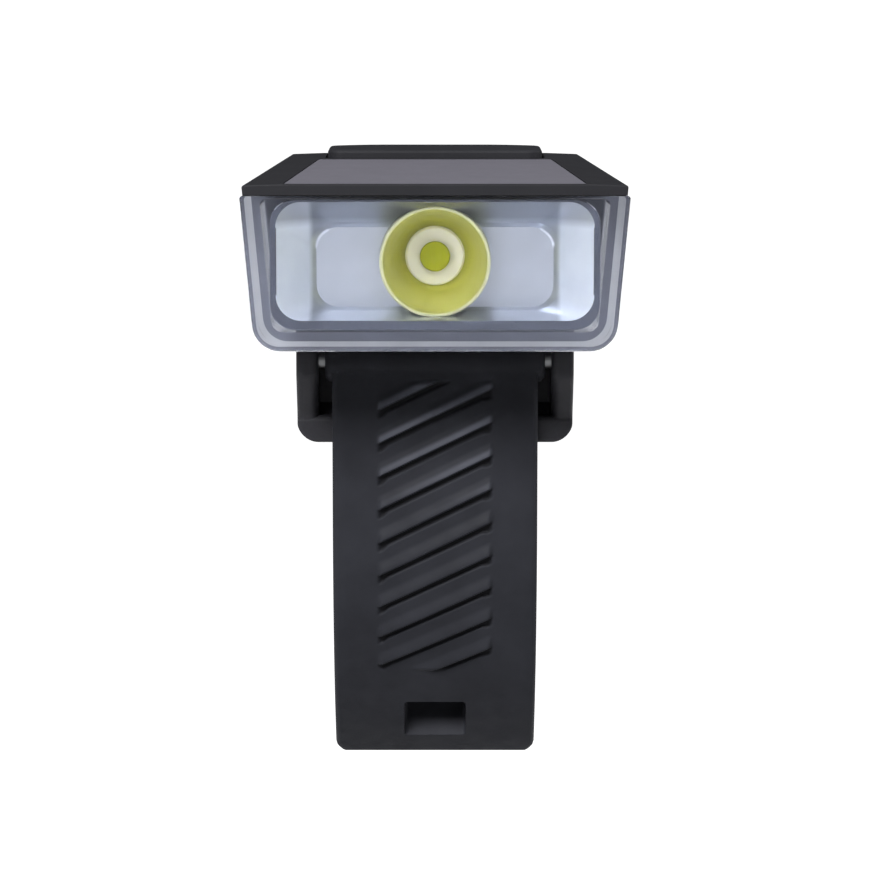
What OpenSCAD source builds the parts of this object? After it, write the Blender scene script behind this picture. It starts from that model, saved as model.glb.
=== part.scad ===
// Compact handlebar lamp. A tapered head with a clear front cap and a shallow silver tray
// turns on a saddle that sits on the handlebar, and a ribbed rubber strap hangs from the saddle.
// Millimetres. The origin is on the axis of the handlebar: X along the bar, beam along -Y, Z up.

/* [Head] */
// Width of the head across its top front edge
head_w = 46; // [44:0.5:49]
// Width of the head at its rear
rear_w = 38.6; // [37:0.2:42]
// Length of the head from the lens face to the rear face
head_len = 62; // [60:1:68]
// Distance from the handlebar axis to the lens face
front_reach = 38; // [37:0.5:39]
// Height of the head from its flat underside to its top
head_h = 19.6; // [19.2:0.2:22]
// How much each side leans in from the top to the underside
side_draft = 1.5; // [0.5:0.1:2]
// Radius of the two lower long edges
keel_r = 3.2; // [2.6:0.1:4]
// Bevel round the rear face
rear_bevel = 1.2; // [0.6:0.1:1.6]
// Wall of the case and of the clear front cap
case_wall = 1.8; // [1.6:0.1:2]
// Wall of the cover's roof
roof_t = 2; // [1.8:0.1:2.2]
// Height of the cover's side walls, down to the split line
cover_h = 2.8; // [2.6:0.1:3.2]
// Thickness of the cover's visor above the clear front cap
visor_t = 1.45; // [1.3:0.05:1.6]
// Thickness of the plate let into the roof
plate_t = 0.6; // [0.4:0.05:0.7]
// Width of the dark border left each side of the plate
plate_border = 4.9; // [4:0.1:6]
// Gap between the head and the saddle under it
head_gap = 0.3; // [0.25:0.05:0.5]

/* [Optics] */
// Depth of the clear front cap
lens_depth = 9; // [8.6:0.1:9.6]
// Thickness of the tray's flange and of the gasket behind it
flange_t = 0.8; // [0.6:0.1:1]
// Wall of the silver tray
tray_wall = 0.8; // [0.6:0.1:0.9]
// Radius of the reflector cup's mouth
cup_r = 6.2; // [6:0.1:6.5]
// Wall of the reflector cup at its mouth
cup_wall = 0.5; // [0.4:0.05:0.55]
// Radius of the white LED base
led_base_r = 3.6; // [3.2:0.1:4]
// Radius of the yellow LED chip
chip_r = 1.6; // [1.3:0.1:1.8]
// Radius of the clear dome over the chip
dome_r = 2.2; // [2:0.1:2.4]

/* [Electronics] */
// Width of the battery
battery_w = 22; // [18:0.5:22]
// Length of the battery
battery_len = 21.5; // [18:0.5:22]
// Height of the battery
battery_h = 7; // [6:0.1:7.2]
// Thickness of the main circuit board
board_t = 1.2; // [1:0.1:1.6]
// Width of the shell of the charging socket
usb_w = 8.94; // [8.9:0.02:9]
// Height of the shell of the charging socket
usb_h = 3.26; // [3.2:0.02:3.3]
// Depth of the charging socket
usb_len = 7.4; // [7:0.1:7.6]

/* [Button] */
// Width of the rubber button pad
pad_w = 28.4; // [24:0.2:29]
// Length of the rubber button pad along the head
pad_len = 11; // [10:0.2:11.4]
// How far the pad stands above the roof
pad_proud = 1.4; // [1.1:0.05:1.8]
// Travel of the button
button_travel = 0.6; // [0.3:0.05:0.7]

/* [Saddle] */
// Radius of the handlebar
bar_r = 15.9; // [15:0.1:16.4]
// Thickness of the rubber liner
liner_t = 2; // [1.8:0.1:2.4]
// Wall of the saddle round the liner
saddle_wall = 2.2; // [2:0.1:2.6]
// Thickness of the saddle's deck over the liner
deck_t = 4; // [3.9:0.1:4.6]
// Width of the saddle along the bar
saddle_w = 34.5; // [34:0.25:36]
// Height of the saddle's lower edge above the bar's axis
skirt_z = 8; // [7.4:0.1:8.4]
// Height of the lip across the front of the saddle
lip_h = 3.4; // [2.6:0.1:3.8]
// Thickness of the two cheeks that hold the strap's pin
cheek_t = 2.75; // [2.4:0.05:2.9]
// Rounding of the saddle's lower corners
skirt_r = 3; // [2:0.1:3.6]
// Radius of the swivel boss
boss_r = 6; // [5.4:0.1:6.4]

/* [Strap] */
// Width of the strap
strap_w = 25.6; // [24:0.2:26]
// Thickness of the strap
strap_t = 2.6; // [2.2:0.1:2.8]
// Radius of the strap's root, round its pin
root_r = 2.9; // [2.7:0.05:3]
// Radius of the strap's pin
pin_r = 1.25; // [1:0.05:1.4]
// Height at which the strap starts to curl back
curl_z = -2; // [-6:0.5:2]
// Radius of the curl, to the strap's front face
curl_r = 45; // [42:1:55]
// Angle of the curl at the strap's end
curl_end = 45.6; // [43.6:0.2:47]
// Thickness of the strap's end, round its window
tail_t = 4.4; // [3.6:0.1:4.8]
// Width of the window that goes over the hook
window_w = 7.9; // [7.6:0.1:9]
// Spacing of the ribs along the strap
rib_pitch = 4.2; // [4.1:0.05:4.4]
// Width of the ribbed patch
rib_patch_w = 14; // [12:0.5:16]
// How far the ribs stand above the strap
rib_h = 0.7; // [0.4:0.05:0.8]
// Slant of the ribs
rib_slant = 26; // [20:1:30]

/* [Fits] */
// Radial running clearance of pins and of the swivel
run_gap = 0.06; // [0.04:0.01:0.1]
// Gap between moving pieces that don't bear on each other
free_gap = 0.3; // [0.25:0.05:0.35]
// Clearance of seated and screwed pieces
seat_gap = 0.05; // [0.02:0.01:0.08]

/* [Hidden] */
$fn = 64;
thin = 0.02;
big = 200;

// Levels of the head
deck_z = bar_r + liner_t + deck_t;
floor_z = deck_z + head_gap;
top_z = floor_z + head_h;
inner_floor_z = floor_z + case_wall;
split_z = top_z - cover_h;
roof_z = top_z - roof_t;
visor_z = top_z - visor_t;

// Stations along the head
y_front = -front_reach;
y_rear = y_front + head_len;
lens_back_y = y_front + lens_depth;
gasket_y = lens_back_y + flange_t;
case_y = gasket_y + flange_t;
inner_rear_y = y_rear - case_wall;

// Optics: the tray's rim and floor, the cup and the LED on one axis
led_z = floor_z + 0.51 * head_h;
rim_y = y_front + case_wall + 0.6;
rim_w = 2 * (half_w(rim_y) - 0.8 * side_draft - case_wall - tray_wall - 0.1);
rim_z0 = inner_floor_z + tray_wall + 0.2;
cap_roof_t = 0.4;
// How far a cut runs past the face that it opens
cut_over = 1;
// How far the clear cap stands out from the case at its sides and underside
cap_proud = 0.5;
tray_roof_t = 0.5 * tray_wall;
rim_z1 = visor_z - cap_roof_t - tray_roof_t - 0.1;
tray_side_run = 4.3;
tray_floor_w = rim_w - 2 * tray_side_run;
tray_floor_z0 = led_z - cup_r;
// Height of the tray's floor above the LED's axis
tray_floor_rise = 4.1;
tray_floor_z1 = led_z + tray_floor_rise;
tray_corner_r = 3;
cup_ro = cup_r + cup_wall;
// How far the cup reaches forward of the cap's rear face
cup_reach = 4.6;
cup_front_y = lens_back_y - cup_reach;
// Distances of the LED board from the gasket, and from the case's floor and parting line
led_board_gap = 3.2;
led_board_margin = 1.2;
led_board_y = gasket_y + led_board_gap;
led_board_t = 1.6;
led_board_w = 22;
led_board_z0 = inner_floor_z + led_board_margin;
led_board_z1 = split_z - led_board_margin;
led_base_t = 0.8;
chip_t = 0.3;
sink_y = led_board_y + led_board_t;
sink_w = 22;
board_screw_x = 8.6;
board_screw_r = 0.9;
board_screw_head_r = 1.7;
board_screw_head_h = 0.9;
board_screw_len = 4.5;
sink_base_t = 5;
sink_floor_t = 2;
fin_gap = 1.6;
fin_pitch = 3.6;

// Electronics: tape, battery, rests and board stacked on the case's floor
tape_t = 0.3;
battery_z = inner_floor_z + tape_t;
board_z = battery_z + battery_h + 0.2;
board_top_z = board_z + board_t;
board_lap = 0.25;
board_w = battery_w + 2 * board_lap;
usb_z = board_top_z + usb_h / 2;
usb_mouth_y = y_rear - 1;
usb_back_y = usb_mouth_y - usb_len;
// Back wall of the socket, and the contact tongue that stands on it
usb_back_t = 1;
tongue_w = 6.6;
tongue_t = 0.7;
tongue_set_back = 0.6;
board_rear_y = inner_rear_y - 0.5;
rest_t = 1.8;
rest_rear_y = usb_back_y + 1.6;
battery_rear_y = rest_rear_y - 0.8;
battery_front_y = battery_rear_y - battery_len;
rest_front_y = battery_front_y - rest_t - 1.6;
board_front_y = rest_front_y - 0.4;
// Space between the heat sink and the main board
sink_gap = 2.4;
sink_back_y = board_front_y - sink_gap;
lead_r = 0.6;
lead_x = 3;

// Case screws and their posts, front pair and rear pair
post_r = 2.2;
// How far the posts end below the parting line
post_drop = 3;
post_top_z = split_z - post_drop;
screw_r = 1;
screw_head_r = 1.9;
screw_head_h = 1.2;
screw_tip_gap = 0.4;
// Distance of the front posts from the case's front edge
front_post_gap = 5.2;
front_post_y = case_y + post_r + front_post_gap;
rear_post_y = battery_rear_y - battery_len / 2;
front_post_x = half_w(front_post_y) - side_draft - case_wall - post_r - 0.9;
rear_post_x = half_w(rear_post_y) - side_draft - case_wall - post_r - 0.2;
post_places = [
    [front_post_x, front_post_y], [-front_post_x, front_post_y],
    [rear_post_x, rear_post_y], [-rear_post_x, rear_post_y]
];

// Button: pad, retaining flange, plunger and switch on one vertical axis
flange_out = 0.7;
pad_rear_y = inner_rear_y - flange_out - free_gap;
pad_y = pad_rear_y - pad_len / 2;
pad_corner_r = 2;
pad_flange_t = 0.8;
pad_flange_z = roof_z - seat_gap - pad_flange_t;
// Distance of the switch's centre from the charging socket
switch_gap = 2.4;
switch_y = usb_back_y - switch_gap;
switch_body = 4;
switch_body_h = 1.6;
switch_stem_r = 0.9;
switch_h = 2.2;
switch_stem_z = board_top_z + switch_h;
plunger_r = 1.6;
plunger_z = switch_stem_z + button_travel + 0.1;

// Charging port and its hinged cover
port_w = usb_w + 1.7;
port_h = usb_h + 1.7;
plug_gap = 0.35;
plug_len = 0.7;
cover_gap = 0.15;
cover_t = 1.6;
hinge_r = 1;
hinge_pin_r = 0.5;
hinge_y = y_rear + cover_gap + hinge_r;
hinge_z = usb_z + port_h / 2 + hinge_r;
cover_half_w = port_w / 2 + 1.6;
ear_t = 1.6;
ear_r = 1.5;
indicator_r = 1;
indicator_x = cover_half_w + free_gap + ear_t + 2.2;

// Saddle, swivel and strap
liner_ro = bar_r + liner_t;
saddle_ro = liner_ro + saddle_wall;
liner_w = saddle_w - 2;
liner_z = skirt_z + 0.6;
cheek_in = saddle_w / 2 - cheek_t;
lip_z = skirt_z + lip_h;
lip_y = -sqrt(saddle_ro * saddle_ro - skirt_z * skirt_z);
strap_back_y = lip_y - 0.4;
strap_front_y = strap_back_y - strap_t;
root_proud = 0.2;
pin_y = strap_front_y - root_proud + root_r;
pin_z = deck_z - root_r - free_gap;
deck_front_y = pin_y + root_r + free_gap;
deck_half = -deck_front_y;
cheek_front_y = pin_y - pin_r - 1.6;
root_w = 2 * cheek_in - 2 * 0.85;
washer_r = boss_r + 2;
washer_t = 1;
washer_top_z = deck_z - 2.5;
washer_z = washer_top_z - washer_t;
boss_z = washer_top_z;
recess_z = washer_top_z + 0.1;
swivel_screw_r = 1.5;
swivel_head_r = 2.6;
swivel_tip_z = inner_floor_z - 0.8;
hook_w = 6.4;
hook_t = 5;
hook_root = 3;
hook_reach = 4.2;
hook_rise = 6.3;
hook_tip_r = 1.5;
tail_inset = 1;
curl_y = strap_front_y + curl_r;
tail_len = 12.6;
tail_margin = 4;
window_len = 6.4;
tail_start = curl_end - strap_angle(tail_len);
tail_stop = curl_end - strap_angle(tail_inset);
window_mid = curl_end - strap_angle(tail_margin + window_len / 2);
window_tilt = 60;
window_cut_h = window_len * cos(window_tilt - window_mid);
strap_corner_r = 2;
rib_count = 10;
rib_w = 1.7;
rib_top_z = pin_z - root_r + 0.2;
rib_start = curl_z - rib_top_z;
rib_bottom_z = strap_z(rib_start + (rib_count - 1) * rib_pitch);

// Half the width of the head's top at a station along it
function half_w(y) = head_w / 2 - (head_w - rear_w) / 2 * (y - y_front) / head_len;

// Angle of the strap at a distance along it, counted from where the curl starts
function strap_angle(s) = max(s, 0) / curl_r * 180 / PI;

// Height of the strap's front face at that distance
function strap_z(s) = curl_z - min(s, 0) - curl_r * sin(strap_angle(s));

// Distance behind the straight front face that the curl takes it there
function strap_back(s) = curl_r * (1 - cos(strap_angle(s)));

// Turns a shape drawn in plan so that it faces the beam, its height along -Y
module face_front(y, z = 0) {
    translate([0, y, z])
        rotate([90, 0, 0])
            children();
}

// Turns a side profile drawn as (Y, Z) so that its height runs along +X
module side_on() {
    rotate([90, 0, 90])
        children();
}

// Solid bar of the given length along X, centred
module cross_bar(r, length, y, z) {
    translate([0, y, z])
        rotate([0, 90, 0])
            cylinder(r = r, h = length, center = true);
}

// Box from its two corners
module box(low, high) {
    translate(low)
        cube(high - low);
}

// One thin slice of the head's outline, pulled in by a margin
module head_slice(y, margin) {
    keel = max(keel_r - margin, 0.6);
    for (side = [-1, 1]) {
        translate([side * (half_w(y) - side_draft - margin - keel), y, floor_z + margin + keel])
            rotate([-90, 0, 0])
                cylinder(r = keel, h = thin, $fn = 32);
        translate([side * (half_w(y) - margin) - thin / 2, y, top_z - thin])
            cube(thin);
    }
}

// Head's outline between two stations, pulled in by a margin at the sides and the underside
module head_form(margin, y0, y1) {
    hull() {
        head_slice(y0, margin);
        head_slice(y1 - thin, margin);
    }
}

// Whole outer form of the head, bevelled round its rear face
module head_outer() {
    hull() {
        head_slice(y_front, 0);
        head_slice(y_rear - 2 * rear_bevel, 0);
        translate([0, 0, -rear_bevel / 2])
            head_slice(y_rear - thin, rear_bevel);
    }
}

// Rectangle seen from the front, with round corners, as a thin slice
module tray_slice(y, w, z0, z1, r) {
    for (side = [-1, 1]) {
        for (z = [z0 + r, z1 - r]) {
            translate([side * (w / 2 - r), y, z])
                rotate([-90, 0, 0])
                    cylinder(r = r, h = thin, $fn = 32);
        }
    }
}

// Dish of the tray from its rim back to a floor, grown by a margin, with less of it at the top
module tray_dish(margin, back_y, roof) {
    hull() {
        tray_slice(rim_y, rim_w + 2 * margin, rim_z0 - margin, rim_z1 + roof, tray_corner_r);
        tray_slice(
            back_y - thin, tray_floor_w + 2 * margin,
            tray_floor_z0 - margin, tray_floor_z1 + roof, tray_corner_r
        );
    }
}

// Bar with round ends along X, standing along +Y, used for the charging port
module port_bar(w, h, y0, y1) {
    translate([0, y0, usb_z])
        rotate([-90, 0, 0])
            linear_extrude(y1 - y0) {
                square([w - h, h], center = true);
                translate([(w - h) / 2, 0])
                    circle(d = h);
                translate([-(w - h) / 2, 0])
                    circle(d = h);
            }
}

// Flat slab with four round corners, centred on the button
module pad_slab(w, len, z0, z1) {
    translate([0, pad_y, z0])
        linear_extrude(z1 - z0) {
            square([w - 2 * pad_corner_r, len], center = true);
            square([w, len - 2 * pad_corner_r], center = true);
            for (x = [-1, 1], y = [-1, 1]) {
                translate([x * (w / 2 - pad_corner_r), y * (len / 2 - pad_corner_r)])
                    circle(r = pad_corner_r);
            }
        }
}

// Cover over the whole head, with its visor over the clear front cap
module top_cover() {
    color("#2e2f33")
        difference() {
            union() {
                difference() {
                    intersection() {
                        head_outer();
                        union() {
                            box([-big, case_y, split_z], [big, big, big]);
                            box([-big, -big, visor_z], [big, big, big]);
                        }
                    }
                    intersection() {
                        head_form(case_wall, case_y, inner_rear_y);
                        box([-big, -big, split_z - 1], [big, big, roof_z]);
                    }
                    box([-half_w(case_y) + case_wall, case_y - 1, split_z - 1],
                        [half_w(case_y) - case_wall, case_y + 1, visor_z]);
                }
                for (p = post_places) {
                    translate([p[0], p[1], post_top_z])
                        cylinder(r = post_r, h = roof_z - post_top_z + 0.2);
                }
            }
            for (p = post_places) {
                translate([p[0], p[1], post_top_z - 1])
                    cylinder(r = screw_r + seat_gap, h = roof_z - post_top_z + 1 - screw_tip_gap / 2);
            }
            plate_form(seat_gap, big);
            pad_slab(pad_w + 2 * free_gap, pad_len + 2 * free_gap, roof_z - 1, top_z + 1);
        }
}

// Outline of the plate let into the roof, from just behind the visor's edge to the button
module plate_form(margin, height) {
    front = y_front + 0.8 - margin;
    back = pad_y - pad_len / 2 - free_gap - 1.2 + margin;
    translate([0, 0, top_z - plate_t])
        linear_extrude(height)
            polygon([
                [-half_w(front) + plate_border - margin, front],
                [half_w(front) - plate_border + margin, front],
                [half_w(back) - plate_border + margin, back],
                [-half_w(back) + plate_border - margin, back]
            ]);
}

// Grey plate let into the roof
module top_plate() {
    color("#6b6973")
        plate_form(0, plate_t);
}

// Main shell with its screw posts, board rests, charging port, hinge ears and swivel boss
module lower_case() {
    color("#26272a")
        difference() {
            union() {
                difference() {
                    intersection() {
                        head_outer();
                        box([-big, case_y, -big], [big, big, split_z]);
                    }
                    head_form(case_wall, case_y - 1, inner_rear_y);
                }
                for (p = post_places) {
                    translate([p[0], p[1], inner_floor_z - 0.2])
                        cylinder(r = post_r, h = post_top_z - inner_floor_z + 0.2);
                }
                for (y = [rest_front_y, rest_rear_y]) {
                    box([-board_w / 2 + 1, y, inner_floor_z - 0.2], [board_w / 2 - 1, y + rest_t, board_z]);
                }
                translate([0, 0, boss_z])
                    cylinder(r = boss_r, h = floor_z - boss_z + 0.2);
                for (side = [-1, 1]) {
                    hinge_ear(side);
                }
            }
            for (p = post_places) {
                translate([p[0], p[1], floor_z - 1])
                    cylinder(r = screw_r + seat_gap, h = big);
                translate([p[0], p[1], floor_z - thin])
                    cylinder(r1 = screw_head_r + seat_gap, r2 = screw_r + seat_gap, h = screw_head_h);
            }
            translate([0, 0, boss_z - 1])
                cylinder(r = swivel_screw_r + seat_gap, h = swivel_tip_z + seat_gap - boss_z + 1);
            port_bar(usb_w + 2 * seat_gap, usb_h + 2 * seat_gap, inner_rear_y - 1, y_rear + 1);
            port_bar(port_w, port_h, usb_mouth_y, y_rear + 1);
            translate([indicator_x, y_rear + 1, usb_z])
                rotate([90, 0, 0])
                    cylinder(r = indicator_r + seat_gap, h = case_wall + 2);
            cross_bar(hinge_pin_r + seat_gap, big, hinge_y, hinge_z);
        }
}

// Ear on the rear wall that holds one end of the cover's hinge pin
module hinge_ear(side) {
    x0 = side > 0 ? cover_half_w + free_gap : -cover_half_w - free_gap - ear_t;
    translate([x0, 0, 0])
        intersection() {
            union() {
                translate([0, hinge_y, hinge_z])
                    rotate([0, 90, 0])
                        cylinder(r = ear_r, h = ear_t);
                box([0, inner_rear_y + 0.4, hinge_z - ear_r], [ear_t, hinge_y, hinge_z + ear_r]);
            }
            box([-big, -big, -big], [big, big, split_z]);
        }
}

// Clear cap that forms the whole front of the head below the visor
module front_lens() {
    color("#d8e2ec", 0.4)
        difference() {
            intersection() {
                head_form(-cap_proud, y_front, lens_back_y);
                box([-big, -big, -big], [big, big, visor_z]);
            }
            intersection() {
                head_form(case_wall, y_front + case_wall, lens_back_y + 1);
                box([-big, -big, -big], [big, big, visor_z - cap_roof_t]);
            }
        }
}

// Black sealing ring between the tray's flange and the case
module lens_gasket() {
    color("#111214")
        difference() {
            intersection() {
                head_form(0.3, gasket_y, case_y);
                box([-big, -big, -big], [big, big, visor_z]);
            }
            intersection() {
                head_form(case_wall + 0.6, gasket_y - 1, case_y + 1);
                box([-big, -big, -big], [big, big, visor_z - 1.8]);
            }
        }
}

// Silver dish behind the cap, with a flange that the cap clamps against the gasket
module reflector_tray() {
    color("#c4c8d2")
        difference() {
            union() {
                tray_dish(tray_wall, gasket_y, tray_roof_t);
                intersection() {
                    head_form(0.6, lens_back_y, gasket_y);
                    box([-big, -big, -big], [big, big, visor_z]);
                }
            }
            tray_dish(0, lens_back_y, 0);
            face_front(gasket_y + cut_over, led_z)
                cylinder(r = cup_ro + seat_gap, h = gasket_y + 2 * cut_over - rim_y);
        }
}

// Round bowl round the LED; the tray's hole holds its rim and its back stands on the LED board
module reflector_cup() {
    depth = led_board_y - cup_front_y;
    throat_r = led_base_r + seat_gap;
    step = led_board_y - gasket_y;
    neck_r = throat_r + (cup_r - throat_r) * sqrt(step / depth) + 0.6;
    bowl = [for (i = [0:12]) let (t = i / 12) [throat_r + (cup_r - throat_r) * sqrt(t), depth * t]];
    color("#b9b08a")
        face_front(led_board_y, led_z)
            rotate_extrude()
                polygon(concat(bowl, [
                    [cup_ro, depth],
                    [cup_ro, step],
                    [neck_r, step],
                    [throat_r + 1, 0]
                ]));
}

// White round base of the LED
module led_base() {
    color("#e6e0d2")
        face_front(led_board_y, led_z)
            cylinder(r = led_base_r, h = led_base_t);
}

// Yellow LED chip
module led_chip() {
    color("#a8a800")
        face_front(led_board_y - led_base_t, led_z)
            cylinder(r = chip_r, h = chip_t);
}

// Clear dome moulded over the chip
module led_dome() {
    color("#f2f2e6", 0.5)
        face_front(led_board_y - led_base_t, led_z)
            difference() {
                intersection() {
                    sphere(r = dome_r);
                    translate([0, 0, dome_r])
                        cube(2 * dome_r, center = true);
                }
                translate([0, 0, -1])
                    cylinder(r = chip_r, h = chip_t + 1);
            }
}

// Metal-cored board that carries the LED
module led_board() {
    color("#e8e8e4")
        difference() {
            box([-led_board_w / 2, led_board_y, led_board_z0], [led_board_w / 2, sink_y, led_board_z1]);
            for (side = [-1, 1]) {
                translate([side * board_screw_x, sink_y + 1, led_z])
                    rotate([90, 0, 0])
                        cylinder(r = board_screw_r + seat_gap, h = led_board_t + 2);
            }
        }
}

// Two screws that hold the LED board on the heat sink
module board_screws() {
    color("#9a9a9a")
        for (side = [-1, 1]) {
            translate([side * board_screw_x, led_board_y, led_z])
                rotate([90, 0, 0]) {
                    cylinder(r = board_screw_head_r, h = board_screw_head_h);
                    translate([0, 0, -board_screw_len])
                        cylinder(r = board_screw_r, h = board_screw_len + thin);
                }
        }
}

// Finned metal block that stands on the case's floor and draws heat from the LED board
module heat_sink() {
    sink_z1 = board_top_z - lead_r;
    color("#a9adb2")
        difference() {
            box([-sink_w / 2, sink_y, inner_floor_z], [sink_w / 2, sink_back_y, sink_z1]);
            for (i = [-2:2]) {
                box([i * fin_pitch - fin_gap / 2, sink_y + sink_base_t, inner_floor_z + sink_floor_t],
                    [i * fin_pitch + fin_gap / 2, big, big]);
            }
            for (side = [-1, 1]) {
                translate([side * board_screw_x, led_board_y + board_screw_len + seat_gap, led_z])
                    rotate([90, 0, 0])
                        cylinder(r = board_screw_r + seat_gap, h = board_screw_len);
            }
        }
}

// Two leads that run from the LED board back to the main board
module led_leads() {
    color("#8c1f1f")
        for (side = [-1, 1]) {
            translate([side * lead_x, board_front_y + 3, board_top_z + lead_r])
                rotate([90, 0, 0])
                    cylinder(r = lead_r, h = board_front_y + 3 - sink_y);
        }
}

// Main circuit board on its two rests
module main_board() {
    color("#1d5a3a")
        box([-board_w / 2, board_front_y, board_z], [board_w / 2, board_rear_y, board_top_z]);
}

// Small push switch on the board under the button
module tact_switch() {
    color("#3a3a3a")
        translate([0, switch_y, board_top_z]) {
            translate([-switch_body / 2, -switch_body / 2, 0])
                cube([switch_body, switch_body, switch_body_h]);
            cylinder(r = switch_stem_r, h = switch_stem_z - board_top_z);
        }
}

// Metal shell of the charging socket
module usb_socket() {
    shell = 0.3;
    color("#b8bcc0")
        difference() {
            port_bar(usb_w, usb_h, usb_back_y, usb_mouth_y);
            port_bar(usb_w - 2 * shell, usb_h - 2 * shell, usb_back_y + usb_back_t, usb_mouth_y + cut_over);
        }
}

// Contact tongue inside the charging socket
module usb_tongue() {
    color("#202020")
        box([-tongue_w / 2, usb_back_y + usb_back_t, usb_z - tongue_t / 2],
            [tongue_w / 2, usb_mouth_y - tongue_set_back, usb_z + tongue_t / 2]);
}

// Lithium pouch between the board's two rests
module battery_pack() {
    color("#5a7fa8")
        box([-battery_w / 2, battery_front_y, battery_z],
            [battery_w / 2, battery_rear_y, battery_z + battery_h]);
}

// Double-sided tape that holds the battery to the floor
module battery_tape() {
    color("#d9d4c4")
        box([-battery_w / 2 + 2, battery_front_y + 2, inner_floor_z],
            [battery_w / 2 - 2, battery_rear_y - 2, battery_z]);
}

// Two leads that run up from the battery's front end to the board
module battery_leads() {
    color("#202020")
        for (side = [-1, 1]) {
            translate([side * lead_x, battery_front_y - lead_r, battery_z + 1])
                cylinder(r = lead_r, h = board_z - battery_z - 1);
        }
}

// Light pipe for the charge indicator, set in the rear wall beside the port
module charge_indicator() {
    color("#cfd6da", 0.7)
        translate([indicator_x, y_rear + 0.1, usb_z])
            rotate([90, 0, 0])
                cylinder(r = indicator_r, h = case_wall + 0.6);
}

// Four countersunk screws that close the case from below
module case_screws() {
    color("#3c3d40")
        for (p = post_places) {
            translate([p[0], p[1], floor_z]) {
                cylinder(r1 = screw_head_r, r2 = screw_r, h = screw_head_h);
                cylinder(r = screw_r, h = roof_z - floor_z - screw_tip_gap);
            }
        }
}

// Washer that keeps the head's boss in the saddle's deck
module swivel_washer() {
    color("#9a9ca0")
        difference() {
            translate([0, 0, washer_z])
                cylinder(r = washer_r, h = washer_t);
            translate([0, 0, washer_z - thin])
                cylinder(
                    r1 = swivel_head_r + seat_gap, r2 = swivel_screw_r + seat_gap,
                    h = washer_t + 2 * thin
                );
        }
}

// Countersunk screw that holds the washer to the boss
module swivel_screw() {
    color("#7d7f83")
        translate([0, 0, washer_z]) {
            cylinder(r1 = swivel_head_r, r2 = swivel_screw_r, h = washer_t);
            cylinder(r = swivel_screw_r, h = swivel_tip_z - washer_z);
        }
}

// Rubber pad of the button, held under the roof by its flange
module button_pad() {
    color("#34353a") {
        pad_slab(pad_w, pad_len, pad_flange_z, top_z + pad_proud);
        pad_slab(pad_w + 2 * flange_out, pad_len + 2 * flange_out, pad_flange_z, pad_flange_z + pad_flange_t);
    }
}

// Hard plunger bonded under the pad, over the switch
module switch_plunger() {
    color("#202124")
        translate([0, switch_y, plunger_z])
            cylinder(r = plunger_r, h = pad_flange_z - plunger_z);
}

// Hinged rubber cover of the charging port, with its plug
module usb_cover() {
    color("#2b2c30")
        difference() {
            union() {
                box([-cover_half_w, y_rear + cover_gap, usb_z - port_h / 2 - 1],
                    [cover_half_w, y_rear + cover_gap + cover_t, hinge_z]);
                port_bar(
                    port_w - 2 * plug_gap, port_h - 2 * plug_gap,
                    y_rear - plug_len, y_rear + cover_gap + 0.2
                );
                cross_bar(hinge_r, 2 * cover_half_w, hinge_y, hinge_z);
            }
            cross_bar(hinge_pin_r + run_gap, big, hinge_y, hinge_z);
        }
}

// Hinge pin of the charging port's cover
module usb_cover_pin() {
    color("#9fa2a6")
        cross_bar(hinge_pin_r, 2 * (cover_half_w + free_gap + ear_t), hinge_y, hinge_z);
}

// Saddle: a deck for the swivel, a wall over the bar, two cheeks, a front lip and a rear hook
module bracket_base() {
    color("#222326")
        difference() {
            union() {
                intersection() {
                    union() {
                        cross_bar(saddle_ro, saddle_w, 0, 0);
                        box([-saddle_w / 2, -deck_half, skirt_z], [saddle_w / 2, deck_half, deck_z]);
                        box([-saddle_w / 2, lip_y, skirt_z], [saddle_w / 2, 0, lip_z]);
                    }
                    box([-big, -big, skirt_z], [big, big, big]);
                }
                for (side = [-1, 1]) {
                    saddle_cheek(side);
                }
                strap_hook();
            }
            cross_bar(liner_ro, big, 0, 0);
            cross_bar(pin_r + seat_gap, big, pin_y, pin_z);
            translate([0, 0, skirt_z])
                cylinder(r = boss_r + run_gap, h = big);
            translate([0, 0, skirt_z])
                cylinder(r = washer_r + free_gap, h = recess_z - skirt_z);
            for (side = [0, 1]) {
                mirror([side, 0, 0])
                    skirt_corner();
            }
        }
}

// Cheek at one side of the strap's root
module saddle_cheek(side) {
    x0 = side > 0 ? cheek_in : -cheek_in - cheek_t;
    translate([x0, 0, 0])
        side_on()
            linear_extrude(cheek_t) {
                polygon([
                    [deck_front_y + 1, deck_z],
                    [pin_y, deck_z],
                    [cheek_front_y, pin_z + 1],
                    [cheek_front_y, pin_z - 2],
                    [lip_y, lip_z],
                    [lip_y, skirt_z],
                    [deck_front_y + 1, skirt_z]
                ]);
                translate([pin_y, pin_z])
                    circle(r = pin_y - cheek_front_y);
            }
}

// Horn at the rear that the strap's window goes over, rising to its tip
module strap_hook() {
    root_y = -lip_y - hook_root;
    root_z = skirt_z + 0.54 * hook_rise;
    tip_y = -lip_y + hook_reach;
    tip_z = skirt_z + hook_rise;
    slope = atan2(tip_z - root_z, tip_y - root_y);
    edge = [hook_tip_r * sin(slope), -hook_tip_r * cos(slope)];
    translate([-hook_w / 2, 0, 0])
        side_on()
            linear_extrude(hook_w) {
                polygon([
                    [root_y, root_z - hook_t / 2],
                    [tip_y, tip_z] + edge,
                    [tip_y, tip_z] - edge,
                    [root_y, root_z + hook_t / 2]
                ]);
                translate([tip_y, tip_z])
                    circle(r = hook_tip_r);
            }
}

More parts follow.
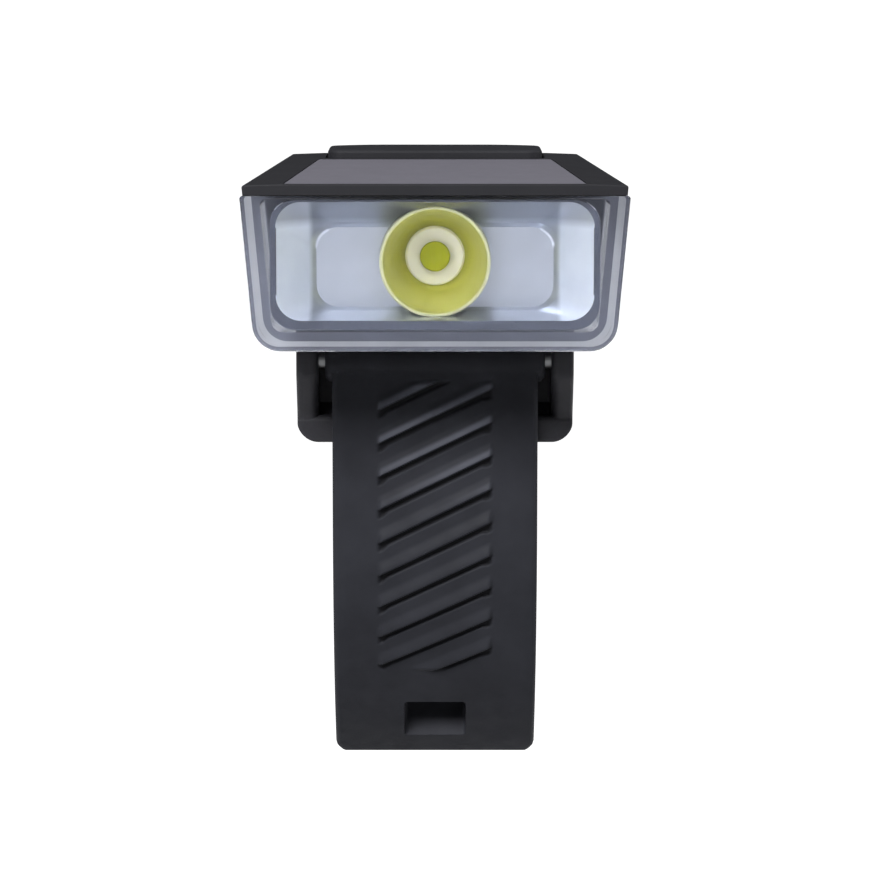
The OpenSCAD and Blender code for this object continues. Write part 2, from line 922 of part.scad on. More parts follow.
// Cutter that rounds one lower corner of the saddle, seen from the front
module skirt_corner() {
    translate([saddle_w / 2 - skirt_r, big / 2, skirt_z + skirt_r])
        rotate([90, 0, 0])
            difference() {
                translate([0, -2 * skirt_r, 0])
                    cube([2 * skirt_r, 2 * skirt_r, big]);
                translate([0, 0, -1])
                    cylinder(r = skirt_r, h = big + 2);
            }
}

// Rubber liner between the saddle and the bar
module bar_pad() {
    color("#17181a")
        intersection() {
            difference() {
                cross_bar(liner_ro - seat_gap, liner_w, 0, 0);
                cross_bar(bar_r, big, 0, 0);
            }
            box([-big, -big, liner_z], [big, big, big]);
        }
}

// Steel pin through the cheeks and the strap's root
module strap_pin() {
    color("#8e9196")
        cross_bar(pin_r, saddle_w - 0.6, pin_y, pin_z);
}

// Curled part of the strap between two angles, from a depth under its front face to a height over it
module curl_part(a0, a1, depth, height, w) {
    translate([0, curl_y, curl_z])
        side_on()
            rotate([0, 0, 180 + a0])
                rotate_extrude(angle = a1 - a0)
                    translate([curl_r - depth, -w / 2])
                        square([depth + height, w]);
}

// Slanted bars of the ribbed patch, one for each rib
module rib_bars() {
    for (i = [0:rib_count - 1]) {
        s = rib_start + i * rib_pitch;
        turn = cos(strap_angle(s));
        translate([0, strap_front_y + strap_back(s), strap_z(s)])
            rotate([0, -atan(tan(rib_slant) * turn), 0])
                cube([2 * rib_patch_w, rib_patch_w, rib_w * turn], center = true);
    }
}

// Cutter that rounds one corner of the strap's end
module tail_corner() {
    translate([0, curl_y, curl_z])
        side_on()
            rotate([0, 0, 180 + curl_end])
                translate([curl_r - tail_t - cut_over, -strap_corner_r, strap_w / 2 - strap_corner_r])
                    difference() {
                        cube([tail_t + 2 * cut_over, 2 * strap_corner_r, 2 * strap_corner_r]);
                        translate([-cut_over, 0, 0])
                            rotate([0, 90, 0])
                                cylinder(r = strap_corner_r, h = tail_t + 4 * cut_over);
                    }
}

// Rubber strap: root round the pin, plate with a ribbed patch, curled tail with a window
module strap() {
    color("#34363a")
        difference() {
            union() {
                cross_bar(root_r, root_w, pin_y, pin_z);
                box([-strap_w / 2, strap_front_y, curl_z], [strap_w / 2, strap_back_y, pin_z]);
                curl_part(0, curl_end, strap_t, 0, strap_w);
                curl_part(tail_start, tail_stop, tail_t, strap_t / 5 - strap_t, strap_w - 2 * tail_inset);
                intersection() {
                    union() {
                        box([-rib_patch_w / 2, strap_front_y - rib_h, curl_z],
                            [rib_patch_w / 2, strap_front_y + 1, rib_top_z]);
                        curl_part(0, curl_end, 1, rib_h, rib_patch_w);
                    }
                    rib_bars();
                    box([-big, -big, rib_bottom_z], [big, 0, rib_top_z]);
                }
            }
            cross_bar(pin_r + run_gap, big, pin_y, pin_z);
            translate([
                0,
                curl_y - curl_r * cos(window_mid),
                curl_z - curl_r * sin(window_mid)
            ])
                rotate([window_tilt, 0, 0])
                    cube([window_w, 5 * tail_t, window_cut_h], center = true);
            for (side = [0, 1]) {
                mirror([side, 0, 0])
                    tail_corner();
            }
        }
}

top_cover();
top_plate();
lower_case();
front_lens();
lens_gasket();
reflector_tray();
reflector_cup();
led_base();
led_chip();
led_dome();
led_board();
board_screws();
heat_sink();
led_leads();
main_board();
tact_switch();
usb_socket();
usb_tongue();
battery_pack();
battery_tape();
battery_leads();
charge_indicator();
case_screws();
swivel_washer();
swivel_screw();
button_pad();
switch_plunger();
usb_cover();
usb_cover_pin();
bracket_base();
bar_pad();
strap_pin();
strap();
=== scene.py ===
import math

import bmesh
import bpy
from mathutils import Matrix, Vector


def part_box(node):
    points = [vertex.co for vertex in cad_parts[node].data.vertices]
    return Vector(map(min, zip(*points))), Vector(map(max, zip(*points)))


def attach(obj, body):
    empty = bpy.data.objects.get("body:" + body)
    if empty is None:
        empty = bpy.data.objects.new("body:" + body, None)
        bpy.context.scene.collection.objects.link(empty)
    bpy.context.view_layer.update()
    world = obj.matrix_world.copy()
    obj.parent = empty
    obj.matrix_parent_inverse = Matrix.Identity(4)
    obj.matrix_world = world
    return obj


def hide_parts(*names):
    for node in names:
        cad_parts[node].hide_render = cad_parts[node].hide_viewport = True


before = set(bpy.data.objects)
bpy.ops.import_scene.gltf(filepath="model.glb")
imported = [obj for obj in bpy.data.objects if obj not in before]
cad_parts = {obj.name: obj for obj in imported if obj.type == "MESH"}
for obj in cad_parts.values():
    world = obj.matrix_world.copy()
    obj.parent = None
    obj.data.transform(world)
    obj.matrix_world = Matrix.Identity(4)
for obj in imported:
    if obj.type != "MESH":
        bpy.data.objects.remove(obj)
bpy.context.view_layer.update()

# Looks of the handlebar lamp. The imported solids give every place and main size, and this script
# gives each piece its moulded form and its finish. Lengths inside the functions are millimetres.

bl_info = {
    "name": "Handlebar lamp",
    "version": (1, 0, 0),
    "blender": (4, 5, 0),
    "location": "View3D > Sidebar > Lamp",
    "description": "Dresses the packed handlebar lamp piece by piece",
    "category": "Object",
}

MM = 0.001
# How far a cutter reaches past what it cuts, in millimetres
OVER = 1.0
# Points closer than this are merged, in metres
MERGE = 1e-7


def span(node):
    """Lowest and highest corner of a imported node, in millimetres."""
    low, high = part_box(node)
    return low / MM, high / MM


# Levels and stations of the head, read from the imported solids
CAP_LOW, CAP_HIGH = span("front_lens")
SEAL_LOW, SEAL_HIGH = span("lens_gasket")
COVER_HIGH = span("top_cover")[1]
CASE_LOW, CASE_HIGH = span("lower_case")
PLATE_LOW, PLATE_HIGH = span("top_plate")
TRAY_LOW, TRAY_HIGH = span("reflector_tray")
CUP_LOW, CUP_HIGH = span("reflector_cup")
BASE_LOW, BASE_HIGH = span("led_base")
CHIP_LOW, CHIP_HIGH = span("led_chip")
DOME_HIGH = span("led_dome")[1]
PAD_LOW, PAD_HIGH = span("button_pad")
PORT_LOW, PORT_HIGH = span("usb_cover")
PORT_PIN_LOW, PORT_PIN_HIGH = span("usb_cover_pin")
SOCKET_LOW, SOCKET_HIGH = span("usb_socket")
PIPE_LOW, PIPE_HIGH = span("charge_indicator")
SADDLE_LOW, SADDLE_HIGH = span("bracket_base")
LINER_LOW, LINER_HIGH = span("bar_pad")
PIN_LOW, PIN_HIGH = span("strap_pin")
STRAP_LOW, STRAP_HIGH = span("strap")
SCREW_LOW, SCREW_HIGH = span("case_screws")
BOARD_SCREW_LOW, BOARD_SCREW_HIGH = span("board_screws")

FRONT_Y = CAP_LOW.y
CAP_BACK_Y = CAP_HIGH.y
CASE_Y = SEAL_HIGH.y
REAR_Y = COVER_HIGH.y
SEAL_INSET = 0.3
FLOOR_Z = SEAL_LOW.z - SEAL_INSET
CAP_PROUD = FLOOR_Z - CAP_LOW.z
SPLIT_Z = CASE_HIGH.z
VISOR_Z = CAP_HIGH.z
TOP_Z = COVER_HIGH.z
HEAD_HALF = COVER_HIGH.x
LED_Z = (CUP_LOW.z + CUP_HIGH.z) / 2
LED_CENTRE = (0, 0, LED_Z)
PIN_Y = (PIN_LOW.y + PIN_HIGH.y) / 2
PIN_Z = (PIN_LOW.z + PIN_HIGH.z) / 2
PIN_CENTRE = (0, PIN_Y, PIN_Z)
PIN_RADIUS = PIN_HIGH.z - PIN_Z
HINGE_Y = (PORT_PIN_LOW.y + PORT_PIN_HIGH.y) / 2
HINGE_Z = (PORT_PIN_LOW.z + PORT_PIN_HIGH.z) / 2
HINGE_CENTRE = (0, HINGE_Y, HINGE_Z)
SOCKET_Z = (SOCKET_LOW.z + SOCKET_HIGH.z) / 2
SOCKET_WIDTH = SOCKET_HIGH.x - SOCKET_LOW.x
SOCKET_HEIGHT = SOCKET_HIGH.z - SOCKET_LOW.z
PIPE_CENTRE = ((PIPE_LOW.x + PIPE_HIGH.x) / 2, 0, SOCKET_Z)
ORIGIN = (0, 0, 0)

# Sizes that the case and its screws share
SCREW_HEAD = 1.9
POST_RADIUS = 2.2
POST_BORE = 1.05


def length(label, note, default, least=0):
    """Length property, its default and least value in millimetres."""
    return bpy.props.FloatProperty(
        name=label, description=note, default=default * MM, min=least * MM, precision=5,
        subtype="DISTANCE", unit="LENGTH",
    )


def degrees(label, note, default):
    """Angle property, its default in degrees."""
    return bpy.props.FloatProperty(
        name=label, description=note, default=math.radians(default), subtype="ANGLE", unit="ROTATION",
    )


def number(label, note, default, least, most):
    """Whole number property."""
    return bpy.props.IntProperty(name=label, description=note, default=default, min=least, max=most)


def tint(label, note, default):
    """Colour property, its default in linear red, green and blue."""
    return bpy.props.FloatVectorProperty(
        name=label, description=note, default=default, min=0, max=1, size=3, subtype="COLOR",
    )


class LampSizes(bpy.types.PropertyGroup):
    """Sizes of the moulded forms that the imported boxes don't give."""

    rear_width: length("Rear width", "Width of the head at its rear", 38.6)
    side_draft: length("Side draft", "How much each side leans in towards the underside", 1.5)
    keel_radius: length("Keel radius", "Radius of the two lower long edges", 3.2)
    rear_bevel: length("Rear rounding", "How much the rear face pulls in", 1.2)
    wall: length("Wall", "Wall of the case and of the clear cap", 1.8)
    roof: length("Roof", "Wall of the cover's roof", 2.0)
    edge_droop: length("Edge droop", "How far the roof falls towards its side edges", 0.15)
    plate_border: length("Plate border", "Dark border left each side of the grey plate", 4.9)
    cap_edge: length("Cap edge", "Rounding of the clear cap's front edge", 0.9)
    cap_roof: length("Cap roof", "Wall of the clear cap under the visor", 0.4)
    tray_wall: length("Tray wall", "Wall of the silver tray", 0.8)
    tray_run: length("Tray run", "How far each side of the tray slopes in", 4.3)
    tray_corner: length("Tray corner", "Corner radius of the tray", 3.0)
    cup_wall: length("Cup wall", "Wall of the reflector cup at its mouth", 0.5)
    pad_corner: length("Pad corner", "Corner radius of the button pad", 2.0)
    pad_flange: length("Pad flange", "How far the button's flange reaches under the roof", 0.7)
    pad_crown: length("Pad crown", "How far the button's middle rises over its edge", 0.3)
    free_gap: length("Free gap", "Gap between pieces that move past each other", 0.3)
    bar_radius: length("Bar radius", "Radius of the handlebar", 15.9)
    liner: length("Liner", "Thickness of the rubber liner", 2.0)
    liner_rib: length("Liner rib", "Height of the liner's grip ribs", 0.6)
    saddle_wall: length("Saddle wall", "Wall of the saddle round the liner", 2.2)
    lip: length("Lip", "Height of the lip across the saddle's front", 3.4)
    cheek: length("Cheek", "Thickness of the two cheeks beside the strap", 2.75)
    skirt_corner: length("Skirt corner", "Rounding of the saddle's lower corners", 3.0)
    strap_width: length("Strap width", "Width of the strap", 25.6)
    strap_thick: length("Strap thickness", "Thickness of the strap", 2.6)
    strap_edge: length("Strap edge", "Rounding of the strap's long edges", 0.7)
    root_radius: length("Root radius", "Radius of the strap's root round its pin", 2.9)
    curl_radius: length("Curl radius", "Radius of the strap's curl", 45.0)
    tail_thick: length("Tail thickness", "Thickness of the strap's end round its window", 4.4)
    window_width: length("Window width", "Width of the window in the strap's end", 7.9)
    window_length: length("Window length", "Length of the window in the strap's end", 6.4)
    rib_pitch: length("Rib pitch", "Spacing of the strap's ribs", 4.2)
    rib_width: length("Rib width", "Width of one rib's sloping face", 1.7)
    rib_height: length("Rib height", "How far a rib stands above the strap", 0.5)
    rib_crease: length("Rib crease", "Depth of the crease under each rib", 0.35)
    rib_patch: length("Rib patch", "Width of the ribbed patch", 14.0)
    curl_start: length("Curl start", "Height at which the strap starts to curl back", -2.0, least=-40)
    curl_end: degrees("Curl end", "Angle of the curl at the strap's end", 45.6)
    rib_slant: degrees("Rib slant", "Slant of the ribs across the strap", 26)
    rib_count: number("Ribs", "Number of ribs on the strap", 10, least=1, most=14)
    liner_rib_count: number("Liner ribs", "Number of grip ribs in the liner", 25, least=3, most=40)


class LampColours(bpy.types.PropertyGroup):
    """Base colours of the finishes."""

    cover: tint("Cover", "Moulded black of the cover", (0.012, 0.012, 0.014))
    plate: tint("Plate", "Satin grey of the roof's plate", (0.086, 0.083, 0.099))
    case: tint("Case", "Moulded black of the lower case", (0.011, 0.011, 0.013))
    cap: tint("Cap", "Clear plastic of the front cap", (0.925, 0.94, 0.975))
    tray: tint("Tray", "Metal coat of the reflector tray", (0.52, 0.55, 0.615))
    # The cup's yellow is a painted reflection of the phosphor in its metal coat
    cup: tint("Cup", "Tinted metal coat of the reflector cup", (0.69, 0.69, 0.15))
    phosphor: tint("Phosphor", "Phosphor of the LED", (0.44, 0.46, 0.001))
    ceramic: tint("Ceramic", "White base of the LED", (0.90, 0.86, 0.87))
    saddle: tint("Saddle", "Filled black plastic of the saddle", (0.0205, 0.0203, 0.0240))
    strap: tint("Strap", "Black rubber of the strap", (0.0148, 0.0154, 0.0190))
    rubber: tint("Rubber", "Black rubber of pad, liner and port cover", (0.011, 0.011, 0.013))
    steel: tint("Steel", "Steel of pins, screws and socket", (0.55, 0.56, 0.58))
    floor: tint("Floor", "Pale studio floor", (0.62, 0.62, 0.62))


def size(name):
    """One of the panel's lengths, in millimetres."""
    return getattr(bpy.context.scene.lamp_sizes, name) / MM


def colour(name):
    """One of the panel's colours with full alpha."""
    return (*getattr(bpy.context.scene.lamp_colours, name), 1.0)


def arc(centre, radius, start, end, steps):
    """Points of an arc in a plane, angles in degrees."""
    points = []
    for k in range(steps + 1):
        turn = math.radians(start + (end - start) * k / steps)
        points.append((centre[0] + radius * math.cos(turn), centre[1] + radius * math.sin(turn)))
    return points


def quarter(steps):
    """Points of a quarter round in parts of its radius, as (distance from its face, pull from its side)."""
    turns = [math.pi / 2 * k / steps for k in range(steps + 1)]
    return [(1 - math.sin(turn), 1 - math.cos(turn)) for turn in turns]


def fillet(corners, radii, steps=6):
    """Closed outline of a polygon with each corner rounded by its own radius."""
    outline = []
    for i, corner in enumerate(corners):
        here = Vector(corner)
        if radii[i] == 0:
            outline.append(tuple(here))
            continue
        back = (Vector(corners[i - 1]) - here).normalized()
        ahead = (Vector(corners[(i + 1) % len(corners)]) - here).normalized()
        half = back.angle(ahead) / 2
        reach = radii[i] / math.tan(half)
        centre = here + (back + ahead).normalized() * radii[i] / math.sin(half)
        first = here + back * reach - centre
        last = here + ahead * reach - centre
        turn = (math.pi - 2 * half) * (1 if first.cross(last) > 0 else -1)
        for k in range(steps + 1):
            angle = turn * k / steps
            cosine, sine = math.cos(angle), math.sin(angle)
            outline.append((
                centre.x + first.x * cosine - first.y * sine,
                centre.y + first.x * sine + first.y * cosine,
            ))
    return outline


def rectangle(x0, y0, x1, y1, radius, steps=6):
    """Rectangle with four equal round corners."""
    return fillet([(x0, y0), (x1, y0), (x1, y1), (x0, y1)], [radius] * 4, steps)


def shrink(outline, distance):
    """Closed outline pulled in by a distance along its own normals, with sharp mitres held back."""
    if distance == 0:
        return list(outline)
    points = [Vector(p) for p in outline]
    area = sum(points[i - 1].cross(points[i]) for i in range(len(points)))
    side = 1 if area > 0 else -1
    least = 0.3
    pulled = []
    for i, here in enumerate(points):
        into = (here - points[i - 1]).normalized()
        out = (points[(i + 1) % len(points)] - here).normalized()
        first = Vector((-into.y, into.x)) * side
        second = Vector((-out.y, out.x)) * side
        mitre = (first + second) / max(1 + first.dot(second), least)
        pulled.append(tuple(here + mitre * distance))
    return pulled


def place(outline, level, plane):
    """Outline put in space: drawn from above (XY), from the front (XZ) or from the side (YZ)."""
    if plane == "XY":
        return [(u, v, level) for u, v in outline]
    if plane == "XZ":
        return [(u, level, v) for u, v in outline]
    return [(level, u, v) for u, v in outline]


def skin(rings, ends=True):
    """Vertices and faces over rings of equal count, with end caps or joined into a loop."""
    count = len(rings[0])
    verts = [point for ring in rings for point in ring]
    faces = []
    for k in range(len(rings) if not ends else len(rings) - 1):
        near = k * count
        far = (k + 1) % len(rings) * count
        for i in range(count):
            j = (i + 1) % count
            faces.append((near + i, near + j, far + j, far + i))
    if ends:
        faces.append(tuple(reversed(range(count))))
        faces.append(tuple(range(len(verts) - count, len(verts))))
    return verts, faces


def slab(outline, low, high, edge=0.2, edge_low=None, plane="XY", steps=4, crown=0, crown_run=0):
    """Plate of an outline with rounded edges and, where asked, a crowned upper face.

    The crown's rings shrink towards the outline's middle, down to crown_run of its size.
    """
    edge_low = edge if edge_low is None else edge_low
    levels = [(0, low + edge_low), (0, high - crown - edge)]
    for back, pull in quarter(steps)[1:]:
        if edge_low > 0:
            levels.insert(0, (edge_low * pull, low + edge_low * back))
        if edge > 0:
            levels.append((edge * pull, high - crown - edge * back))
    rings = [place(shrink(outline, pull), level, plane) for pull, level in levels]
    if crown > 0:
        brim = shrink(outline, edge)
        middle = sum((Vector(p) for p in brim), Vector((0, 0))) / len(brim)
        hoops = 8
        for k in range(1, hoops + 1):
            part = 1 - (1 - crown_run) * k / hoops
            level = high - crown * ((part - crown_run) / (1 - crown_run)) ** 2
            rings.append(place([tuple(middle + (Vector(p) - middle) * part) for p in brim], level, plane))
    return skin(rings)


def lathe(profile, centre, axis, around=64):
    """Form turned about an axis through a centre; the profile is a loop of (radius, distance)."""
    verts = []
    faces = []
    count = len(profile)
    for i in range(around):
        turn = 2 * math.pi * i / around
        cosine, sine = math.cos(turn), math.sin(turn)
        for radius, along in profile:
            spot = {
                "X": (along, radius * cosine, radius * sine),
                "Y": (radius * cosine, along, radius * sine),
                "Z": (radius * cosine, radius * sine, along),
            }[axis]
            verts.append(tuple(Vector(spot) + Vector(centre)))
        for j in range(count):
            near = i * count
            far = (i + 1) % around * count
            k = (j + 1) % count
            faces.append((near + j, near + k, far + k, far + j))
    return verts, faces


def rod(radius, low, high, centre, axis, chamfer=0.15, around=48):
    """Round bar with chamfered ends."""
    return tube(0, radius, low, high, centre, axis, chamfer, around)


def tube(bore, radius, low, high, centre, axis, chamfer=0.15, around=48):
    """Round tube with chamfered outer ends."""
    profile = [
        (bore, low), (radius - chamfer, low), (radius, low + chamfer),
        (radius, high - chamfer), (radius - chamfer, high), (bore, high),
    ]
    return lathe(profile, centre, axis, around)


def make(name, *forms):
    """Mesh object at the origin from forms in millimetres, its faces turned outwards."""
    mesh = bpy.data.meshes.new(name)
    work = bmesh.new()
    for verts, faces in forms:
        made = [work.verts.new(Vector(v) * MM) for v in verts]
        for face in faces:
            work.faces.new([made[i] for i in face])
    bmesh.ops.remove_doubles(work, verts=work.verts, dist=MERGE)
    loose = [edge for edge in work.edges if not edge.link_faces]
    bmesh.ops.delete(work, geom=loose, context="EDGES")
    bmesh.ops.recalc_face_normals(work, faces=work.faces)
    work.to_mesh(mesh)
    work.free()
    obj = bpy.data.objects.new(name, mesh)
    bpy.context.scene.collection.objects.link(obj)
    return obj


def settle(obj):
    """Replaces the object's mesh by what its modifiers make of it."""
    graph = bpy.context.evaluated_depsgraph_get()
    mesh = bpy.data.meshes.new_from_object(obj.evaluated_get(graph))
    old = obj.data
    obj.modifiers.clear()
    obj.data = mesh
    bpy.data.meshes.remove(old)


def combine(obj, other, operation):
    """Joins another object to this one, or cuts it out, and removes that other object."""
    step = obj.modifiers.new("combine", "BOOLEAN")
    step.operation = operation
    step.solver = "EXACT"
    step.object = other
    settle(obj)
    old = other.data
    bpy.data.objects.remove(other)
    bpy.data.meshes.remove(old)
    if not obj.data.polygons:
        raise RuntimeError(f"nothing is left of {obj.name}")


def carve(obj, *forms):
    """Cuts forms out of an object, one after the other."""
    for form in forms:
        combine(obj, make("cutter", form), "DIFFERENCE")


def join(obj, *forms):
    """Joins forms to an object so that it stays one closed skin."""
    for form in forms:
        combine(obj, make("addition", form), "UNION")


def fit(obj, body, slot, finish, *nodes, angle=35):
    """Gives a finished piece its shading, material and body, and hides the nodes that it stands for; the
    slot is not used.

    The shading is smooth, but keeps edges sharper than the angle and leaves flat faces flat.
    """
    obj.data.shade_smooth()
    obj.data.set_sharp_from_angle(angle=math.radians(angle))
    step = obj.modifiers.new("normals", "WEIGHTED_NORMAL")
    step.keep_sharp = True
    settle(obj)
    obj.data.materials.clear()
    obj.data.materials.append(finish)
    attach(obj, body)
    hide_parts(*nodes)


def dress(node, finish):
    """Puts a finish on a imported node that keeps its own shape."""
    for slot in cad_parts[node].material_slots:
        slot.material = finish


class Tree:
    """Node tree in the making."""

    def __init__(self, tree):
        self.tree = tree

    def feed(self, socket, value):
        """Gives a socket a link or a plain value."""
        if isinstance(value, bpy.types.NodeSocket):
            self.tree.links.new(value, socket)
        else:
            socket.default_value = value

    def node(self, kind, inputs=None, **settings):
        """New node with its settings and inputs."""
        made = self.tree.nodes.new(kind)
        for key, value in settings.items():
            setattr(made, key, value)
        for key, value in (inputs or {}).items():
            self.feed(made.inputs[key], value)
        return made


class Finish(Tree):
    """Procedural material in the making: Principled shader fed by Object coordinates."""

    def __init__(self, name):
        self.material = bpy.data.materials.new(name)
        self.material.use_nodes = True
        super().__init__(self.material.node_tree)
        self.shader = self.tree.nodes["Principled BSDF"]
        self.coords = self.node("ShaderNodeTexCoord").outputs["Object"]

    def put(self, **sockets):
        """Feeds sockets of the shader by name, with underscores for spaces."""
        for key, value in sockets.items():
            self.feed(self.shader.inputs[key.replace("_", " ")], value)

    def turned(self, centre=ORIGIN, stretch=(1, 1, 1)):
        """Object coordinates centred on a point in millimetres and stretched."""
        shift = [-c * MM * s for c, s in zip(centre, stretch)]
        return self.node("ShaderNodeMapping", {
            "Vector": self.coords, "Location": shift, "Scale": stretch,
        }).outputs["Vector"]

    def split(self, vector):
        """The three parts of a vector by their letters."""
        return self.node("ShaderNodeSeparateXYZ", {"Vector": vector}).outputs

    def noise(self, grain, detail=2.0, vector=None):
        """Noise whose features are about a grain wide, in millimetres."""
        return self.node("ShaderNodeTexNoise", {
            "Vector": vector or self.coords, "Scale": 1 / (grain * MM), "Detail": detail,
            "Roughness": 0.55,
        }).outputs["Fac"]

    def scuffs(self):
        """Noise drawn out along the head, as rubbing leaves it."""
        return self.noise(2.4, 5.0, self.turned(stretch=(1.0, 0.35, 1.6)))

    def pebbles(self, grain):
        """Rounded cells about a grain wide, in millimetres."""
        return self.node("ShaderNodeTexVoronoi", {
            "Vector": self.coords, "Scale": 1 / (grain * MM), "Smoothness": 0.6,
        }, feature="SMOOTH_F1").outputs["Distance"]

    def bricks(self, width, height, gap, first, second, mortar, offset):
        """Grid of cells in two colours with gaps between, its sizes in millimetres."""
        return self.node("ShaderNodeTexBrick", {
            "Vector": self.coords, "Scale": 1.0, "Color1": first, "Color2": second, "Mortar": mortar,
            "Mortar Size": gap * MM, "Brick Width": width * MM, "Row Height": height * MM,
        }, offset=offset).outputs

    def ramp(self, value, *stops):
        """Colour ramp over stops of (place, colour)."""
        made = self.node("ShaderNodeValToRGB", {"Fac": value})
        while len(made.color_ramp.elements) < len(stops):
            made.color_ramp.elements.new(0.5)
        for element, (spot, shown) in zip(made.color_ramp.elements, stops):
            element.position = spot
            element.color = shown
        return made.outputs["Color"]

    def clouded(self, value, base, dark, pale):
        """Colour that a noise makes darker and paler by two factors."""
        return self.ramp(value, (0.3, scaled(base, dark)), (0.7, scaled(base, pale)))

    def range(self, value, low, high, first, last):
        """Number mapped from one range to another."""
        return self.node("ShaderNodeMapRange", {
            "Value": value, "From Min": low, "From Max": high, "To Min": first, "To Max": last,
        }).outputs["Result"]

    def times(self, shown, factor):
        """Colour times a number."""
        return self.node("ShaderNodeVectorMath", {
            0: shown, "Scale": factor,
        }, operation="SCALE").outputs["Vector"]

    def bump(self, height, depth):
        """Normal bumped by a height, its depth in millimetres."""
        return self.node("ShaderNodeBump", {
            "Height": height, "Distance": depth * MM, "Strength": 1.0,
        }).outputs["Normal"]


def scaled(base, factor):
    """Colour made lighter or darker."""
    return (*[min(c * factor, 1.0) for c in base[:3]], 1.0)


def moulded(name, base, rough, grain, depth, specular=0.15, blotch=0.08, pebbled=False):
    """Moulded plastic or rubber: fine tool texture, uneven gloss and slight clouding."""
    spread = 0.025
    finish = Finish(name)
    texture = finish.pebbles(grain) if pebbled else finish.noise(grain, 3.0)
    finish.put(
        Base_Color=finish.clouded(finish.noise(7.0, 4.0), base, 1 - blotch, 1 + blotch),
        Roughness=finish.range(finish.scuffs(), 0.25, 0.75, rough - spread, rough + spread),
        Specular_IOR_Level=specular,
        Normal=finish.bump(texture, depth),
    )
    return finish.material


def metal(name, base, rough, grain, depth, stretch=(1, 1, 1), metallic=1.0):
    """Bare or coated metal with drawn or rolled marks along one direction."""
    finish = Finish(name)
    marks = finish.noise(grain, 4.0, finish.turned(stretch=stretch))
    finish.put(
        Base_Color=finish.clouded(finish.noise(5.0, 3.0), base, 0.9, 1.06),
        Metallic=metallic,
        Roughness=finish.range(marks, 0.2, 0.8, rough - 0.08, rough + 0.1),
        Normal=finish.bump(marks, depth),
    )
    return finish.material


def clear(name, base, rough, haze=0.03, bend=1.49, glare=1.0):
    """Clear moulded plastic with faint haze from handling; glare scales its mirror image."""
    finish = Finish(name)
    smears = finish.noise(6.0, 4.0, finish.turned(stretch=(1.0, 1.0, 0.6)))
    finish.put(
        Base_Color=base,
        Roughness=finish.range(smears, 0.4, 0.75, rough, rough + haze),
        IOR=bend,
        Transmission_Weight=1.0,
        Specular_Tint=(glare, glare, glare, 1.0),
    )
    return finish.material


def cup_finish():
    """Metal coat of the cup whose yellow is a painted reflection of the phosphor, darker at its throat,
    with a painted highlight paler at its mouth.
    """
    throat = 3.4
    finish = Finish("cup_silver")
    base = colour("cup")
    # Colour of the painted highlight at the cup's mouth
    pale = (0.66, 0.66, 0.40, 1.0)
    parts = finish.split(finish.turned(LED_CENTRE))
    flat = finish.node("ShaderNodeCombineXYZ", {"X": parts["X"], "Y": parts["Z"]})
    radius = finish.node("ShaderNodeVectorMath", {0: flat.outputs["Vector"]}, operation="LENGTH")
    across = finish.range(radius.outputs["Value"], throat * MM, CUP_HIGH.x * MM, 0.0, 1.0)
    finish.put(
        # Painted reflection of the phosphor by radius, darker towards the throat, with the painted
        # highlight at the mouth
        Base_Color=finish.ramp(
            across, (0.0, scaled(base, 0.75)), (0.35, base), (0.8, scaled(base, 1.05)), (0.93, pale),
        ),
        Metallic=0.6,
        Roughness=finish.range(finish.noise(1.2, 3.0), 0.3, 0.7, 0.3, 0.42),
        Normal=finish.bump(finish.noise(0.9, 2.0), 0.02),
    )
    return finish.material


def tray_finish(floor_half):
    """Bright metal coat over the moulding's soft ripple; at the sides less metallic with a paler colour
    that is painted light, and darkened at the top by painted shade.
    """
    satin_and_painted_light = 1.65
    bend = 0.6
    painted_shade_from = LED_Z + 4.0
    painted_shade_to = LED_Z + 5.2
    finish = Finish("tray_silver")
    ripple = finish.noise(3.5, 2.0)
    dust = finish.noise(0.5, 3.0)
    parts = finish.split(finish.coords)
    across = finish.node("ShaderNodeMath", {0: parts["X"]}, operation="ABSOLUTE").outputs["Value"]
    # Painted light at the sides: a paler colour standing in for light reflected off the side walls,
    # together with a less metallic finish
    side = finish.range(across, floor_half * MM, (floor_half + bend) * MM, 1.0, satin_and_painted_light)
    # Painted shade: the colour is darkened towards the top of the tray
    coat = finish.range(parts["Z"], painted_shade_from * MM, painted_shade_to * MM, 1.0, 0.5)
    tone = finish.clouded(ripple, colour("tray"), 0.95, 1.03)
    finish.put(
        Base_Color=finish.times(finish.times(tone, coat), side),
        Metallic=finish.range(side, 1.0, satin_and_painted_light, 0.8, 0.3),
        Roughness=finish.range(dust, 0.3, 0.7, 0.30, 0.40),
        Normal=finish.bump(ripple, 0.04),
    )
    return finish.material


def strap_finish():
    """Strap's rubber with a painted highlight on the upper ribs' faces and painted shade in the crease
    under each.
    """
    finish = Finish("strap_rubber")
    base = colour("strap")
    painted_rib_light = finish.node("ShaderNodeAttribute", attribute_name="painted_rib_light").outputs["Fac"]
    # Painted light from the strap's attribute: each crease darkened as painted shadow under its rib, the
    # upper ribs' faces lightened as a painted highlight
    tone = finish.ramp(
        finish.range(painted_rib_light, -1.0, 1.0, 0.0, 1.0),
        (0.0, scaled(base, 0.3)), (0.5, base), (1.0, scaled(base, 4.2)),
    )
    finish.put(
        Base_Color=finish.times(tone, finish.range(finish.noise(7.0, 4.0), 0.3, 0.7, 0.84, 1.16)),
        Roughness=finish.range(finish.scuffs(), 0.25, 0.75, 0.5, 0.66),
        Specular_IOR_Level=0.05,
        Normal=finish.bump(finish.noise(0.28, 3.0), 0.014),
    )
    return finish.material


